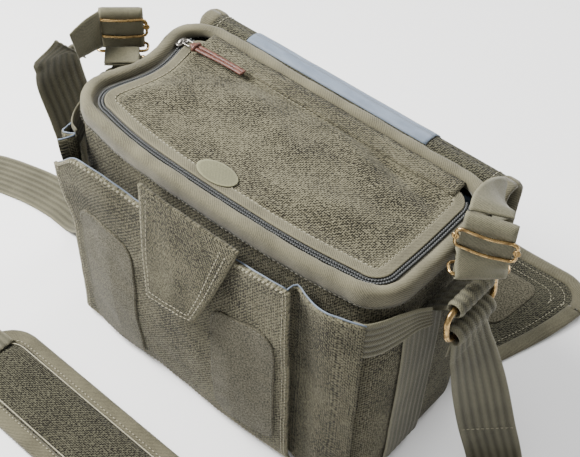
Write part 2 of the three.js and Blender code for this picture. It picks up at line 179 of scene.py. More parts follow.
def plain_weave(n, u, v, pitch):
    """Over-and-under threads of the given pitch, as a height from 0 to 1."""
    turns = TAU / pitch
    warp = n.math("SINE", n.math("MULTIPLY", u, turns))
    weft = n.math("SINE", n.math("MULTIPLY", v, turns))
    half_u = n.math("SINE", n.math("MULTIPLY", u, turns / 2))
    half_v = n.math("SINE", n.math("MULTIPLY", v, turns / 2))
    over = n.math("GREATER_THAN", n.math("MULTIPLY", half_u, half_v), 0.0)
    both = n.math("ADD", n.math("MULTIPLY", warp, over),
                  n.math("MULTIPLY", weft, n.math("SUBTRACT", 1.0, over)))
    return n.math("MULTIPLY_ADD", both, 0.5, 0.5)


def canvas(name, light, dark, pitch, washed):
    """Coarse canvas: pale slubby threads over gaps darkened with painted shade, washed patches and paler
    worn edges.
    """
    n = Nodes(name)
    u, v, flat = n.uv()
    weave = plain_weave(n, u, v, pitch)
    slub_u = n.noise(n.stretched(flat, 1.0, 6.0), 130, 2.0)
    slub_v = n.noise(n.stretched(flat, 6.0, 1.0), 130, 2.0)
    slub = n.spread(n.math("MAXIMUM", slub_u, slub_v), 0.42, 0.70)
    speck = n.spread(n.noise(flat, 560, 2.0, 0.6), 0.32, 0.66)
    # the weave term puts painted shade in the gaps between threads; slub, speck and washed patches are the
    # cloth's own tone
    threads = n.math("ADD", n.math("MULTIPLY", weave, 0.42),
                     n.math("ADD", n.math("MULTIPLY", slub, 0.22), n.math("MULTIPLY", speck, 0.44)))
    patches = n.spread(n.noise(n.place(), 24, 4.0, 0.6), 0.30, 0.70)
    level = n.math("MULTIPLY_ADD", patches, washed, 0.54 - washed / 2)
    contrast = n.spread(n.math("ADD", threads, n.math("SUBTRACT", level, 0.54)), 0.29, 0.83)
    cloth = n.mix(contrast, dark, light)
    worn = n.math("MULTIPLY", n.wear(), n.math("MULTIPLY_ADD", speck, 0.7, 0.15))
    pale = rgb(*[min(1.0, c * 1.35) for c in light[:3]])
    n.bumps(n.math("ADD", weave, n.math("MULTIPLY", slub, 0.6)), 0.0006, 0.8)
    rough = n.math("MULTIPLY_ADD", speck, 0.10, 0.84)
    return n.finish(n.mix(worn, cloth, pale), rough, sheen=0.06, specular=0.12)


def twill(name, light, dark, pitch, contrast=0.6, sheen=0.15):
    """Fine diagonal twill tape."""
    n = Nodes(name)
    u, v, flat = n.uv()
    line = n.math("SINE", n.math("MULTIPLY", n.math("ADD", u, v), TAU / pitch))
    height = n.math("MULTIPLY_ADD", line, 0.5, 0.5)
    fuzz = n.noise(flat, 700, 2.0)
    patches = n.spread(n.noise(n.place(), 34, 3.0), 0.3, 0.7)
    depth = n.math("ADD", n.math("MULTIPLY", height, contrast * 0.6),
                   n.math("ADD", n.math("MULTIPLY", n.spread(fuzz, 0.3, 0.7), 0.30),
                          n.math("MULTIPLY", patches, 0.30)))
    worn = n.math("MULTIPLY", n.wear(), 0.5)
    pale = rgb(*[min(1.0, c * 1.35) for c in light[:3]])
    n.bumps(n.math("ADD", height, fuzz), 0.00025, 0.6)
    rough = n.math("MULTIPLY_ADD", fuzz, 0.15, 0.72)
    return n.finish(n.mix(worn, n.mix(depth, dark, light), pale), rough, sheen=sheen, specular=0.2)


def herringbone(name, light, dark, rib, pitch):
    """Ribbed webbing: slanting threads that change direction at each rib, with picks across."""
    n = Nodes(name)
    u, v, flat = n.uv()
    folded = n.math("PINGPONG", u, rib / 2)
    slant = n.math("SINE", n.math("MULTIPLY", n.math("ADD", v, folded), TAU / pitch))
    groove = n.math("COSINE", n.math("MULTIPLY", u, TAU / rib))
    height = n.math("ADD", n.math("MULTIPLY_ADD", slant, 0.30, 0.5), n.math("MULTIPLY", groove, -0.25))
    fuzz = n.spread(n.noise(flat, 800, 2.0), 0.3, 0.7)
    patches = n.spread(n.noise(n.place(), 30, 3.0), 0.3, 0.7)
    depth = n.math("ADD", n.math("MULTIPLY", height, 0.62),
                   n.math("ADD", n.math("MULTIPLY", fuzz, 0.24), n.math("MULTIPLY", patches, 0.16)))
    worn = n.math("MULTIPLY", n.wear(), 0.45)
    pale = rgb(*[min(1.0, c * 1.3) for c in light[:3]])
    n.bumps(n.math("ADD", height, n.math("MULTIPLY", fuzz, 0.3)), 0.0006, 0.8)
    rough = n.math("MULTIPLY_ADD", fuzz, 0.12, 0.78)
    return n.finish(n.mix(worn, n.mix(depth, dark, light), pale), rough, sheen=0.12, specular=0.2)


def brushed(name, light, dark):
    """The fuzzy loop half of a hook-and-loop patch."""
    n = Nodes(name)
    _, _, flat = n.uv()
    fuzz = n.noise(flat, 620, 3.0, 0.65)
    clumps = n.spread(n.noise(flat, 90, 5.0, 0.7), 0.30, 0.70)
    depth = n.math("ADD", n.math("MULTIPLY", n.spread(fuzz, 0.36, 0.64), 0.80),
                   n.math("MULTIPLY", clumps, 0.20))
    n.bumps(n.math("ADD", fuzz, n.math("MULTIPLY", clumps, 0.1)), 0.0006, 0.8)
    rough = n.math("MULTIPLY_ADD", fuzz, 0.1, 0.86)
    return n.finish(n.mix(depth, dark, light), rough, sheen=0.06, specular=0.1)


def nylon(name, light, dark):
    """Thin smooth lining with soft creases."""
    n = Nodes(name)
    u, v, flat = n.uv()
    weave = plain_weave(n, u, v, 0.0006)
    crease = n.noise(n.stretched(flat, 1.0, 2.5), 34, 3.0)
    depth = n.math("ADD", n.math("MULTIPLY", weave, 0.2),
                   n.math("MULTIPLY", n.spread(crease, 0.25, 0.75), 0.8))
    n.bumps(n.math("ADD", n.math("MULTIPLY", weave, 0.1), crease), 0.0012, 0.6)
    rough = n.math("MULTIPLY_ADD", crease, 0.2, 0.38)
    return n.finish(n.mix(depth, dark, light), rough, sheen=0.1, specular=0.4)


def metal(name, light, dark, rough_low, rough_high):
    """Plated wire with darker patina in its hollows and fine scratches."""
    n = Nodes(name)
    patina = n.spread(n.noise(n.place(), 210, 4.0, 0.6), 0.35, 0.75)
    scratch = n.noise(n.place(), 1600, 2.0)
    n.bumps(scratch, 0.0001, 0.25)
    span = rough_high - rough_low
    rough = n.math("MULTIPLY_ADD", patina, span, rough_low)
    return n.finish(n.mix(patina, light, dark), rough, metallic=1.0, specular=0.5)


def leather(name, light, dark):
    """Pitted leather, paler where it is worn."""
    n = Nodes(name)
    grain = n.tree.nodes.new("ShaderNodeTexVoronoi")
    grain.inputs["Scale"].default_value = 1500
    n.plug(grain.inputs["Vector"], n.place())
    pits = grain.outputs["Distance"]
    patches = n.spread(n.noise(n.place(), 240, 4.0), 0.3, 0.7)
    n.bumps(pits, 0.0003, 0.5)
    rough = n.math("MULTIPLY_ADD", patches, 0.2, 0.38)
    worn = n.math("MAXIMUM", n.wear(), n.math("MULTIPLY", patches, 0.5))
    return n.finish(n.mix(worn, dark, light), rough, specular=0.45)


def thread(name, light, dark):
    """Twisted sewing thread."""
    n = Nodes(name)
    twist = n.noise(n.place(), 2600, 2.0)
    n.bumps(twist, 0.0002, 0.5)
    rough = n.math("MULTIPLY_ADD", twist, 0.1, 0.6)
    return n.finish(n.mix(n.spread(twist, 0.3, 0.7), dark, light), rough, sheen=0.2)


def coil_plastic(name, light, dark):
    """Dark nylon for the zip's coils."""
    n = Nodes(name)
    shade = n.noise(n.place(), 900, 2.0)
    n.bumps(shade, 0.0001, 0.4)
    rough = n.math("MULTIPLY_ADD", shade, 0.2, 0.35)
    return n.finish(n.mix(n.spread(shade, 0.3, 0.7), dark, light), rough, specular=0.5)


RIB = WEB / 7
# each canvas's near-black second colour is painted shade in the gaps between threads, and the darker tone of
# its specks
CANVAS = canvas("canvas", rgb(0.158, 0.146, 0.095), rgb(0.008, 0.007, 0.004), 0.0017, 0.20)
DARK_CANVAS = canvas("dark_canvas", rgb(0.101, 0.097, 0.065), rgb(0.005, 0.004, 0.003), 0.0017, 0.10)
BINDING = twill("binding_tape", rgb(0.146, 0.134, 0.086), rgb(0.028, 0.025, 0.015), 0.0021, 1.0)
SMOOTH_TAPE = twill("smooth_tape", rgb(0.159, 0.149, 0.096), rgb(0.037, 0.034, 0.019), 0.0016, 0.9)
WEBBING = herringbone("webbing", rgb(0.160, 0.150, 0.099), rgb(0.015, 0.014, 0.009), RIB, 0.0018)
LOOP = brushed("loop_fabric", rgb(0.138, 0.128, 0.090), rgb(0.021, 0.019, 0.013))
LINING = nylon("lining", rgb(0.170, 0.208, 0.264), rgb(0.102, 0.132, 0.174))
PADDING = nylon("padding", rgb(0.187, 0.245, 0.331), rgb(0.094, 0.130, 0.194))
ZIP_TAPE = twill("zip_tape", rgb(0.20, 0.19, 0.145), rgb(0.07, 0.066, 0.05), 0.0009)
COIL = coil_plastic("zip_coil", rgb(0.030, 0.033, 0.033), rgb(0.009, 0.010, 0.010))
BRASS = metal("antique_brass", rgb(0.46, 0.31, 0.13), rgb(0.11, 0.068, 0.03), 0.22, 0.45)
STEEL = metal("slider_metal", rgb(0.30, 0.285, 0.26), rgb(0.09, 0.085, 0.08), 0.30, 0.50)
LEATHER = leather("pull_leather", rgb(0.20, 0.075, 0.045), rgb(0.055, 0.018, 0.012))
OVAL = twill("oval_patch", rgb(0.180, 0.176, 0.104), rgb(0.086, 0.084, 0.048), 0.0016)
PALE_THREAD = thread("pale_thread", rgb(0.396, 0.370, 0.264), rgb(0.224, 0.205, 0.139))
DARK_THREAD = thread("dark_thread", rgb(0.16, 0.15, 0.11), rgb(0.05, 0.045, 0.033))


# ------------------------------------------------------------------ mesh building
class Sketch:
    """Vertices, faces and cloth distances gathered for one piece."""

    def __init__(self):
        self.verts, self.faces, self.uvs, self.worn = [], [], [], []

    def grid(self, rows, u=None, v=None, ring_u=False, ring_v=False, wear=None):
        """Faces over rows of points; u and v are distances along the columns and the rows."""
        base, width = len(self.verts), len(rows[0])
        columns = width if ring_u else width - 1
        lines = len(rows) if ring_v else len(rows) - 1
        u = lengths(rows[0], ring_u) if u is None else u
        v = lengths([row[0] for row in rows], ring_v) if v is None else v
        for i, row in enumerate(rows):
            self.verts.extend(Vector(p) for p in row)
            self.worn.extend(wear[i] if wear else [0.0] * width)
        for i in range(lines):
            for j in range(columns):
                a, b = base + i * width, base + ((i + 1) % len(rows)) * width
                k = (j + 1) % width
                self.faces.append((a + j, a + k, b + k, b + j))
                self.uvs.append([(u[j], v[i]), (u[j + 1], v[i]), (u[j + 1], v[i + 1]), (u[j], v[i + 1])])
        return base

    def fan(self, ring, centre, uv):
        """Closes a ring of vertex numbers onto one point; uv gives a point's cloth distances."""
        tip = len(self.verts)
        self.verts.append(Vector(centre))
        self.worn.append(0.0)
        for j, a in enumerate(ring):
            b = ring[(j + 1) % len(ring)]
            self.faces.append((a, b, tip))
            self.uvs.append([uv(self.verts[a]), uv(self.verts[b]), uv(self.verts[tip])])

    def cap(self, ring, uv):
        self.faces.append(tuple(ring))
        self.uvs.append([uv(self.verts[a]) for a in ring])

    def piece(self, name, material, closed=True):
        mesh = bpy.data.meshes.new(name)
        mesh.from_pydata(self.verts, [], self.faces)
        layer = mesh.uv_layers.new(name="cloth")
        layer.data.foreach_set("uv", [c for face in self.uvs for corner in face for c in corner])
        worn = mesh.attributes.new("wear", "FLOAT", "POINT")
        worn.data.foreach_set("value", self.worn)
        if closed:
            work = bmesh.new()
            work.from_mesh(mesh)
            bmesh.ops.recalc_face_normals(work, faces=work.faces)
            work.to_mesh(mesh)
            work.free()
        mesh.shade_smooth()
        mesh.materials.append(material)
        made = bpy.data.objects.new(name, mesh)
        bpy.context.scene.collection.objects.link(made)
        return made


def lengths(points, ring=False):
    """Running distance along points, with one more entry for the way back round a ring."""
    total, out = 0.0, [0.0]
    loop = list(points) + ([points[0]] if ring else [])
    for a, b in zip(loop, loop[1:]):
        total += (Vector(b) - Vector(a)).length
        out.append(total)
    return out


def flat_uv(p):
    return (p.x, p.y)


def set_up(made, body, nodes=()):
    """Rides a finished piece on its body, for the nodes that it stands for."""
    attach(made, body)
    if nodes:
        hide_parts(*nodes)
    return made


def thicken(made, thickness, offset=0.0):
    """Gives an open sheet its thickness."""
    solid = made.modifiers.new("thickness", "SOLIDIFY")
    solid.thickness = thickness
    solid.offset = offset
    solid.use_even_offset = False
    return made


def spline(stations, step):
    """Evenly spaced rows on a smooth curve through the stations, whose first three numbers are a point."""
    a = np.array(stations, float)
    count = len(a)
    fine = []
    for i in range(count - 1):
        p = [a[min(max(i + k - 1, 0), count - 1)] for k in range(4)]
        for t in np.linspace(0, 1, 16, endpoint=False):
            fine.append(0.5 * (2 * p[1] + (p[2] - p[0]) * t + (2 * p[0] - 5 * p[1] + 4 * p[2] - p[3]) * t * t
                               + (3 * p[1] - p[0] - 3 * p[2] + p[3]) * t ** 3))
    fine.append(a[-1])
    fine = np.array(fine)
    run = np.concatenate([[0], np.cumsum(np.linalg.norm(np.diff(fine[:, :3], axis=0), axis=1))])
    pieces = max(2, round(run[-1] / step))
    at = np.linspace(0, run[-1], pieces + 1)
    return np.array([np.interp(at, run, fine[:, k]) for k in range(fine.shape[1])]).T


def tangents(points, ring=False):
    """Unit directions along a line of points."""
    n = len(points)
    out = []
    for i in range(n):
        before = points[(i - 1) % n] if ring else points[max(i - 1, 0)]
        after = points[(i + 1) % n] if ring else points[min(i + 1, n - 1)]
        out.append((Vector(after) - Vector(before)).normalized())
    return out


def sweep(sketch, path, sides, profile, ring=False, widen=None, wear=None):
    """Carries a closed profile of (across, through) points along a path, as one closed body."""
    rows, along = [], tangents(path, ring)
    for i, (p, side) in enumerate(zip(path, sides)):
        t = along[i]
        side = Vector(side) - t * Vector(side).dot(t)
        side.normalize()
        normal = t.cross(side)
        k = widen[i] if widen else 1.0
        rows.append([Vector(p) + side * (s * k) + normal * m for s, m in profile])
    u = lengths([(s, m, 0) for s, m in profile], True)
    run = lengths(path, ring)
    worn = [wear] * len(rows) if wear else None
    base = sketch.grid(rows, u, run, ring_u=True, ring_v=ring, wear=worn)
    if not ring:
        width = len(profile)
        for start in (base, base + (len(rows) - 1) * width):
            ends = list(range(start, start + width))
            sketch.cap(ends, lambda p: (p.x + p.y, p.z))
    return sketch


def round_profile(radius, sides=10, squash=1.0):
    return [(radius * math.cos(TAU * k / sides), radius * squash * math.sin(TAU * k / sides))
            for k in range(sides)]


def tape_profile(width, thick, cells=10):
    """A flat band with soft edges."""
    top = []
    for i in range(cells + 1):
        s = -width / 2 + width * i / cells
        edge = min(1.0, (width / 2 - abs(s)) / thick + 0.35)
        top.append((s, thick / 2 * edge))
    return top + [(s, -m) for s, m in reversed(top)]


def ribbed_profile(width, thick, ribs=7, depth=0.0007, cells=6):
    """Webbing with rounded lengthwise ribs on both faces."""
    top = []
    for i in range(ribs * cells + 1):
        s = -width / 2 + width * i / (ribs * cells)
        valley = 0.5 + 0.5 * math.cos(TAU * i / cells)
        edge = min(1.0, (width / 2 - abs(s)) / thick + 0.4)
        top.append((s, (thick / 2 - depth * valley ** 2) * edge + 0.0001))
    return top + [(s, -m) for s, m in reversed(top)]


def edge_wear(profile, width, reach=0.004):
    """Wear that is strongest along both edges of a band."""
    return [max(0.0, 1 - (width / 2 - abs(s)) / reach) for s, _ in profile]


def rounded(a0, a1, b0, b1, radius, step=0.004):
    """A rounded rectangle as a ring of evenly spaced (a, b) points."""
    ring = []
    corners = [(a1 - radius, b0 + radius, -90), (a1 - radius, b1 - radius, 0),
               (a0 + radius, b1 - radius, 90), (a0 + radius, b0 + radius, 180)]
    for a, b, start in corners:
        for k in range(7):
            turn = math.radians(start + 15 * k)
            ring.append((a + radius * math.cos(turn), b + radius * math.sin(turn), 0.0))
    run = lengths(ring, True)
    points = np.array(ring + [ring[0]])
    at = np.linspace(0, run[-1], round(run[-1] / step) + 1)[:-1]
    return [(float(np.interp(s, run, points[:, 0])), float(np.interp(s, run, points[:, 1]))) for s in at]


def patch(ring, place, thick, crown=0.0, rings=6):
    """A flat or crowned patch over a ring of (a, b) points; place(a, b, lift) puts it on its surface."""
    sketch = Sketch()
    ca = sum(a for a, _ in ring) / len(ring)
    cb = sum(b for _, b in ring) / len(ring)
    levels = [(k / rings, 0.0) for k in range(1, rings)]
    levels += [(1.0, 0.0), (1.0, thick * 0.6), (0.985, thick)]
    levels += [(1 - k / rings, thick + crown * (1 - (1 - k / rings) ** 2)) for k in range(1, rings)]
    rows, marks, worn = [], [], []
    for share, lift in levels:
        spots = [(ca + (a - ca) * share, cb + (b - cb) * share) for a, b in ring]
        rows.append([place(a, b, lift) for a, b in spots])
        marks.append(spots)
        worn.append([1.0 if share > 0.95 else 0.0] * len(ring))
    size, first = len(ring), len(sketch.verts)
    for row, wear in zip(rows, worn):
        sketch.verts.extend(Vector(p) for p in row)
        sketch.worn.extend(wear)
    for i in range(len(rows) - 1):
        for j in range(size):
            k = (j + 1) % size
            sketch.faces.append((first + i * size + j, first + i * size + k,
                                 first + (i + 1) * size + k, first + (i + 1) * size + j))
            sketch.uvs.append([marks[i][j], marks[i][k], marks[i + 1][k], marks[i + 1][j]])
    for row, lift in ((0, 0.0), (len(rows) - 1, thick + crown)):
        tip = len(sketch.verts)
        sketch.verts.append(Vector(place(ca, cb, lift)))
        sketch.worn.append(0.0)
        for j in range(size):
            k = (j + 1) % size
            sketch.faces.append((first + row * size + j, first + row * size + k, tip))
            sketch.uvs.append([marks[row][j], marks[row][k], (ca, cb)])
    return sketch


def stitch_row(sketch, path, ups, spacing=0.0042, length=0.0029, radius=0.00042, lift=0.0):
    """Short raised stitches along a path; ups are the directions away from the cloth."""
    run = np.array(lengths(path))
    points = np.array([list(p) for p in path])
    lifts = np.array([list(u) for u in ups])
    for at in np.arange(spacing / 2, run[-1], spacing):
        def spot(s):
            return Vector([np.interp(s, run, points[:, k]) for k in range(3)])
        up = Vector([np.interp(at, run, lifts[:, k]) for k in range(3)]).normalized()
        a, b = spot(max(0.0, at - length / 2)), spot(min(run[-1], at + length / 2))
        along = b - a
        if along.length < length / 3:
            continue
        side = along.cross(up).normalized()
        middle = [a.lerp(b, t) + up * (lift + radius * rise) for t, rise in ((0.2, 0.5), (0.8, 0.5))]
        start = len(sketch.verts)
        sketch.verts.append(a + up * lift)
        for m in middle:
            for k in range(4):
                turn = TAU * k / 4
                sketch.verts.append(m + side * (radius * math.cos(turn)) + up * (radius * math.sin(turn)))
        sketch.verts.append(b + up * lift)
        sketch.worn.extend([0.0] * 10)
        faces = [(start, start + 1 + (k + 1) % 4, start + 1 + k) for k in range(4)]
        faces += [(start + 1 + k, start + 1 + (k + 1) % 4, start + 5 + (k + 1) % 4, start + 5 + k)
                  for k in range(4)]
        faces += [(start + 5 + k, start + 5 + (k + 1) % 4, start + 9) for k in range(4)]
        sketch.faces.extend(faces)
        sketch.uvs.extend([[(0.0, 0.0)] * len(f) for f in faces])
    return sketch


# ------------------------------------------------------------------ the body's outline and its slump
def trace_outline(count):
    """Evenly spaced plan points of the body, anticlockwise from the middle of the front, with normals."""
    a = HALF_X - CORNER
    b = HALF_Y - CORNER
    dense = [(x, -HALF_Y - BOW * (1 - (x / a) ** 2)) for x in np.linspace(0, a, 40)]
    for cx, cy, start in ((a, -b, -90), (a, b, 0), (-a, b, 90), (-a, -b, 180)):
        for k in range(1, 19):
            turn = math.radians(start + 5 * k)
            dense.append((cx + CORNER * math.cos(turn), cy + CORNER * math.sin(turn)))
    dense += [(x, -HALF_Y - BOW * (1 - (x / a) ** 2)) for x in np.linspace(-a, 0, 40)[1:]]
    dense = np.array(dense)
    run = np.concatenate([[0], np.cumsum(np.linalg.norm(np.diff(dense, axis=0), axis=1))])
    at = np.linspace(0, run[-1], count + 1)[:-1]
    plan = np.array([np.interp(at, run, dense[:, k]) for k in (0, 1)]).T
    turn = np.roll(plan, -2, 0) - np.roll(plan, 2, 0)
    turn = (np.roll(turn, 1, 0) + turn + np.roll(turn, -1, 0))
    turn /= np.linalg.norm(turn, axis=1)[:, None]
    return plan, np.array([turn[:, 1], -turn[:, 0]]).T, run[-1] / count


ROUND = 240
PLAN, OUTWARD, ARC = trace_outline(ROUND)


def slump(x, y, z):
    """Where the straight bag's point ends up once its soft top has settled."""
    high = ease(0.09, 0.235, z)
    dent = 0.0085 * bump((y - 0.004) / 0.050) * ease(0.07, 0.16, -x) * high
    lean = -0.0035 * bump((x + 0.10) / 0.09) * ease(0.02, 0.07, -y) * high
    dip = -0.0022 * bump((y - 0.004) / 0.060) * ease(0.10, 0.16, abs(x)) * high
    dip += 0.0012 * wave(x * 17, y * 17, 3.1) * high
    return Vector((x + dent, y + lean, z + dip))


def wall(i, z, lift=0.0):
    """A point on the stuffed body wall at outline place i and height z."""
    i = i % ROUND
    low = int(math.floor(i))
    t = i - low
    at = PLAN[low] * (1 - t) + PLAN[(low + 1) % ROUND] * t
    out = OUTWARD[low] * (1 - t) + OUTWARD[(low + 1) % ROUND] * t
    share = z / RIM_LOW.z
    swell = 0.0035 * math.sin(math.pi * min(1.0, max(0.0, share))) ** 0.8
    fold = 0.0013 * wave(at[0] * 22, at[1] * 22, z * 9) + 0.0007 * wave(at[0] * 60, at[1] * 60, z * 30)
    tuck = -0.006 * (1 - ease(0.0, 0.016, z)) ** 2
    reach = lift + swell + fold * ease(0, 0.03, z) + tuck
    return slump(at[0] + out[0] * reach, at[1] + out[1] * reach, z)


def place_on_outline(x, y):
    """The outline place nearest to a plan point."""
    return int(np.argmin(np.hypot(PLAN[:, 0] - x, PLAN[:, 1] - y)))


def hoop(inset, z):
    """The whole outline pulled in by inset at height z, slumped."""
    return [slump(PLAN[i][0] - OUTWARD[i][0] * inset, PLAN[i][1] - OUTWARD[i][1] * inset, z)
            for i in range(ROUND)]


# ------------------------------------------------------------------ body, padding, rim
def make_body():
    """The bag's outer canvas."""
    sketch = Sketch()
    heights = [0.0, 0.002, 0.006, 0.012] + list(np.linspace(0.02, RIM_LOW.z + 0.004, 40))
    rows = [[wall(i, z) for i in range(ROUND)] for z in heights]
    u = [ARC * i for i in range(ROUND + 1)]
    sketch.grid(rows, u, list(heights), ring_u=True)
    inner = [[Vector((p.x * share, p.y * share, 0.0)) for p in rows[0]] for share in (0.97, 0.6, 0.3)]
    first = sketch.grid([rows[0]] + inner, u, [0.0, 0.004, 0.06, 0.11], ring_u=True)
    sketch.fan(range(first + 3 * ROUND, first + 4 * ROUND), (0, 0, 0), flat_uv)
    made = sketch.piece("bag_shell", CANVAS, closed=False)
    weld(made)
    thicken(made, 0.0020, -1.0)
    set_up(made, "bag", ["outer_shell"])


def weld(made, distance=1e-5):
    """Joins coincident vertices and turns all faces outwards."""
    work = bmesh.new()
    work.from_mesh(made.data)
    bmesh.ops.remove_doubles(work, verts=work.verts, dist=distance)
    bmesh.ops.recalc_face_normals(work, faces=work.faces)
    work.to_mesh(made.data)
    work.free()


def make_padding():
    """Quilted inner lining, the padded floor and the two padded dividers."""
    sketch = Sketch()
    heights = list(np.linspace(0.008, RIM_LOW.z - 0.002, 30))
    quilt = 0.045
    rows = []
    for z in heights:
        row = []
        for i in range(ROUND):
            seam = abs(math.sin(math.pi * ARC * i / quilt)) ** 0.4
            inset = LINER_INSET - 0.0028 + 0.0022 * seam * ease(0.008, 0.02, z)
            row.append(slump(PLAN[i][0] - OUTWARD[i][0] * inset, PLAN[i][1] - OUTWARD[i][1] * inset, z))
        rows.append(row)
    u = [ARC * i for i in range(ROUND + 1)]
    sketch.grid(rows, u, heights, ring_u=True)
    made = sketch.piece("padded_liner", PADDING, closed=False)
    thicken(made, 0.0030, 1.0)
    set_up(made, "bag", ["foam_liner"])

    low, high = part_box("base_pad")
    ring = [(PLAN[i][0] - OUTWARD[i][0] * 0.0100, PLAN[i][1] - OUTWARD[i][1] * 0.0100)
            for i in range(0, ROUND, 2)]

    def on_floor(a, b, lift):
        return Vector((a, b, low.z + lift))
    made = patch(ring, on_floor, 0.0035, crown=high.z - low.z - 0.0035, rings=14).piece("floor_pad", PADDING)
    set_up(made, "bag", ["base_pad"])

    for side in ("left", "right"):
        low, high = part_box(f"divider_{side}")
        middle = (low.x + high.x) / 2
        ring = rounded(low.y, high.y, low.z, high.z, 0.012)
        sketch = Sketch()
        rows = []
        for share, reach in ((0.0, 1.0), (0.5, 0.99), (0.85, 0.965), (1.0, 0.90), (1.0, 0.7), (1.0, 0.3)):
            rows.append((share, reach))
        cy, cz = (low.y + high.y) / 2, (low.z + high.z) / 2
        full = [(-s, r) for s, r in reversed(rows[1:])] + rows
        half = (high.x - low.x) / 2
        lines = [[Vector((middle + s * half, cy + (y - cy) * r, cz + (z - cz) * r)) for y, z in ring]
                 for s, r in full]
        first = sketch.grid(lines, ring_u=True)
        size = len(ring)
        sketch.fan(range(first, first + size), (middle - half, cy, cz), lambda p: (p.y, p.z))
        last = first + (len(lines) - 1) * size
        sketch.fan(range(last, last + size), (middle + half, cy, cz), lambda p: (p.y, p.z))
        made = sketch.piece(f"padded_divider_{side}", PADDING)
        set_up(made, f"divider_{side}", [f"divider_{side}"])


def rim_profile():
    """Inset and height of the rolled rim binding, from its outer foot over the top to its inner edge."""
    outer, inner = -0.0022, 0.0092
    shape = [(outer + 0.0008, RIM_LOW.z), (outer - 0.0001, RIM_LOW.z + 0.003), (outer - 0.0006, 0.239),
             (outer - 0.0003, 0.2445)]
    middle, half = (outer + inner) / 2, (inner - outer) / 2
    for k in range(1, 8):
        turn = math.pi * (1 - k / 8)
        shape.append((middle + half * math.cos(turn), 0.2452 + 0.0048 * math.sin(turn)))
    shape += [(inner + 0.0002, 0.243), (inner, 0.2408), (inner - 0.003, 0.2395), (0.004, 0.2405),
              (0.0015, 0.236), (0.0008, RIM_LOW.z)]
    return shape


def make_rim():
    """The rolled binding round the bag's mouth, and its stitch lines."""
    sketch = Sketch()
    rows = []
    worn = []
    profile = rim_profile()
    for i in range(ROUND):
        x, y = PLAN[i]
        nx, ny = OUTWARD[i]
        puff = 0.0007 * wave(x * 45, y * 45, 1.0) + 0.0004 * wave(x * 130, y * 130, 7.0)
        row = []
        for inset, z in profile:
            rise = ease(0.238, 0.249, z)
            reach = inset - puff * (1 if inset < 0.003 else -1)
            row.append(slump(x - nx * reach, y - ny * reach, z + puff * 0.8 * rise))
        rows.append(row)
        worn.append([0.7 * ease(0.243, 0.2495, z) * max(0.0, 0.4 + wave(x * 60, y * 60))
                     for _, z in profile])
    u = lengths([(a, b, 0) for a, b in profile], True)
    sketch.grid(rows, u, [ARC * i for i in range(ROUND + 1)], ring_u=True, ring_v=True, wear=worn)
    set_up(sketch.piece("rim_roll", BINDING), "bag", ["rim_binding"])

    stitches = Sketch()
    for inset, z, up in ((-0.0030, 0.2345, "out"), (0.0072, 0.2478, "top")):
        path = hoop(inset, z)
        ups = [Vector((*OUTWARD[i], 0.0)) if up == "out"
               else Vector((-0.5 * OUTWARD[i][0], -0.5 * OUTWARD[i][1], 1))
               for i in range(ROUND)]
        stitch_row(stitches, path + path[:1], ups + ups[:1], radius=0.00036)
    set_up(stitches.piece("rim_stitches", DARK_THREAD), "bag")


# ------------------------------------------------------------------ lid and zip
HINGE_Y = LID_HIGH.y
CREASES = (
    # start, end, half width, height: the soft ridges and hollows of the lid's canvas
    ((-0.138, -0.022), (-0.070, 0.014), 0.011, 0.0050),
    ((-0.125, 0.030), (-0.060, 0.044), 0.012, -0.0036),
    ((-0.072, 0.036), (0.020, 0.002), 0.011, 0.0032),
    ((-0.090, -0.030), (0.010, -0.045), 0.012, -0.0026),
    ((0.018, 0.050), (0.105, 0.014), 0.009, 0.0034),
    ((0.068, 0.047), (0.142, 0.030), 0.007, -0.0042),
    ((0.086, 0.057), (0.140, 0.049), 0.005, 0.0034),
    ((0.040, -0.028), (0.132, -0.010), 0.013, 0.0026),
    ((0.000, -0.066), (0.070, -0.050), 0.007, 0.0022),
    ((0.060, -0.046), (0.128, -0.040), 0.008, -0.0020),
    ((-0.120, -0.060), (-0.060, -0.064), 0.006, 0.0020),
)


LID_EDGE_Z = 0.2428


def crease_height(x, y):
    """Sum of the soft ridges and hollows in CREASES at one place on the lid."""
    total = 0.0
    p = np.array([x, y])
    for a, b, width, height in CREASES:
        a, b = np.array(a), np.array(b)
        along = b - a
        t = min(1.0, max(0.0, float((p - a) @ along) / float(along @ along)))
        away = float(np.linalg.norm(p - a - along * t))
        total += height * math.exp(-(away / width) ** 2) * (0.55 + 0.45 * math.sin(math.pi * t))
    return total


def lid_height(x, y, inside):
    """Height of the lid's canvas; inside is 0 at its edge and 1 well within it."""
    crown = 0.0024 * ease(0.0, 1.0, inside)
    fine = 0.0006 * wave(x * 40, y * 40, 2.0) + 0.0003 * wave(x * 110, y * 110, 5.0)
    height = LID_EDGE_Z + crown + (crease_height(x, y) + fine) * ease(0.0, 0.35, inside)
    most = 0.2464 + 0.0022 * ease(-0.088, -0.060, x)     # clear of the leather lace and of the shut flap
    return min(height, most - 0.0004 * math.exp(-max(0.0, height - most) / 0.0012))


def lid_outline(inset):
    """The lid's edge: the body's outline pulled in, cut off along the fold at the back."""
    ring = []
    for i in range(ROUND):
        x = PLAN[i][0] - OUTWARD[i][0] * inset
        y = PLAN[i][1] - OUTWARD[i][1] * inset
        ring.append((x, min(y, HINGE_Y - 0.0005)))
    return ring


def lid_surface(inset, lift, rings=26):
    """The lid from its edge to its middle, as rings of points that follow its creases."""
    edge = lid_outline(inset)
    cx, cy = 0.0, -0.008
    rows = []
    for k in range(rings):
        share = 1 - k / rings
        inside = min(1.0, (1 - share) * 2.6)
        row = []
        for x, y in edge:
            px, py = cx + (x - cx) * share, cy + (y - cy) * share
            row.append(slump(px, py, lid_height(px, py, inside) + lift))
        rows.append(row)
    return rows, (cx, cy)


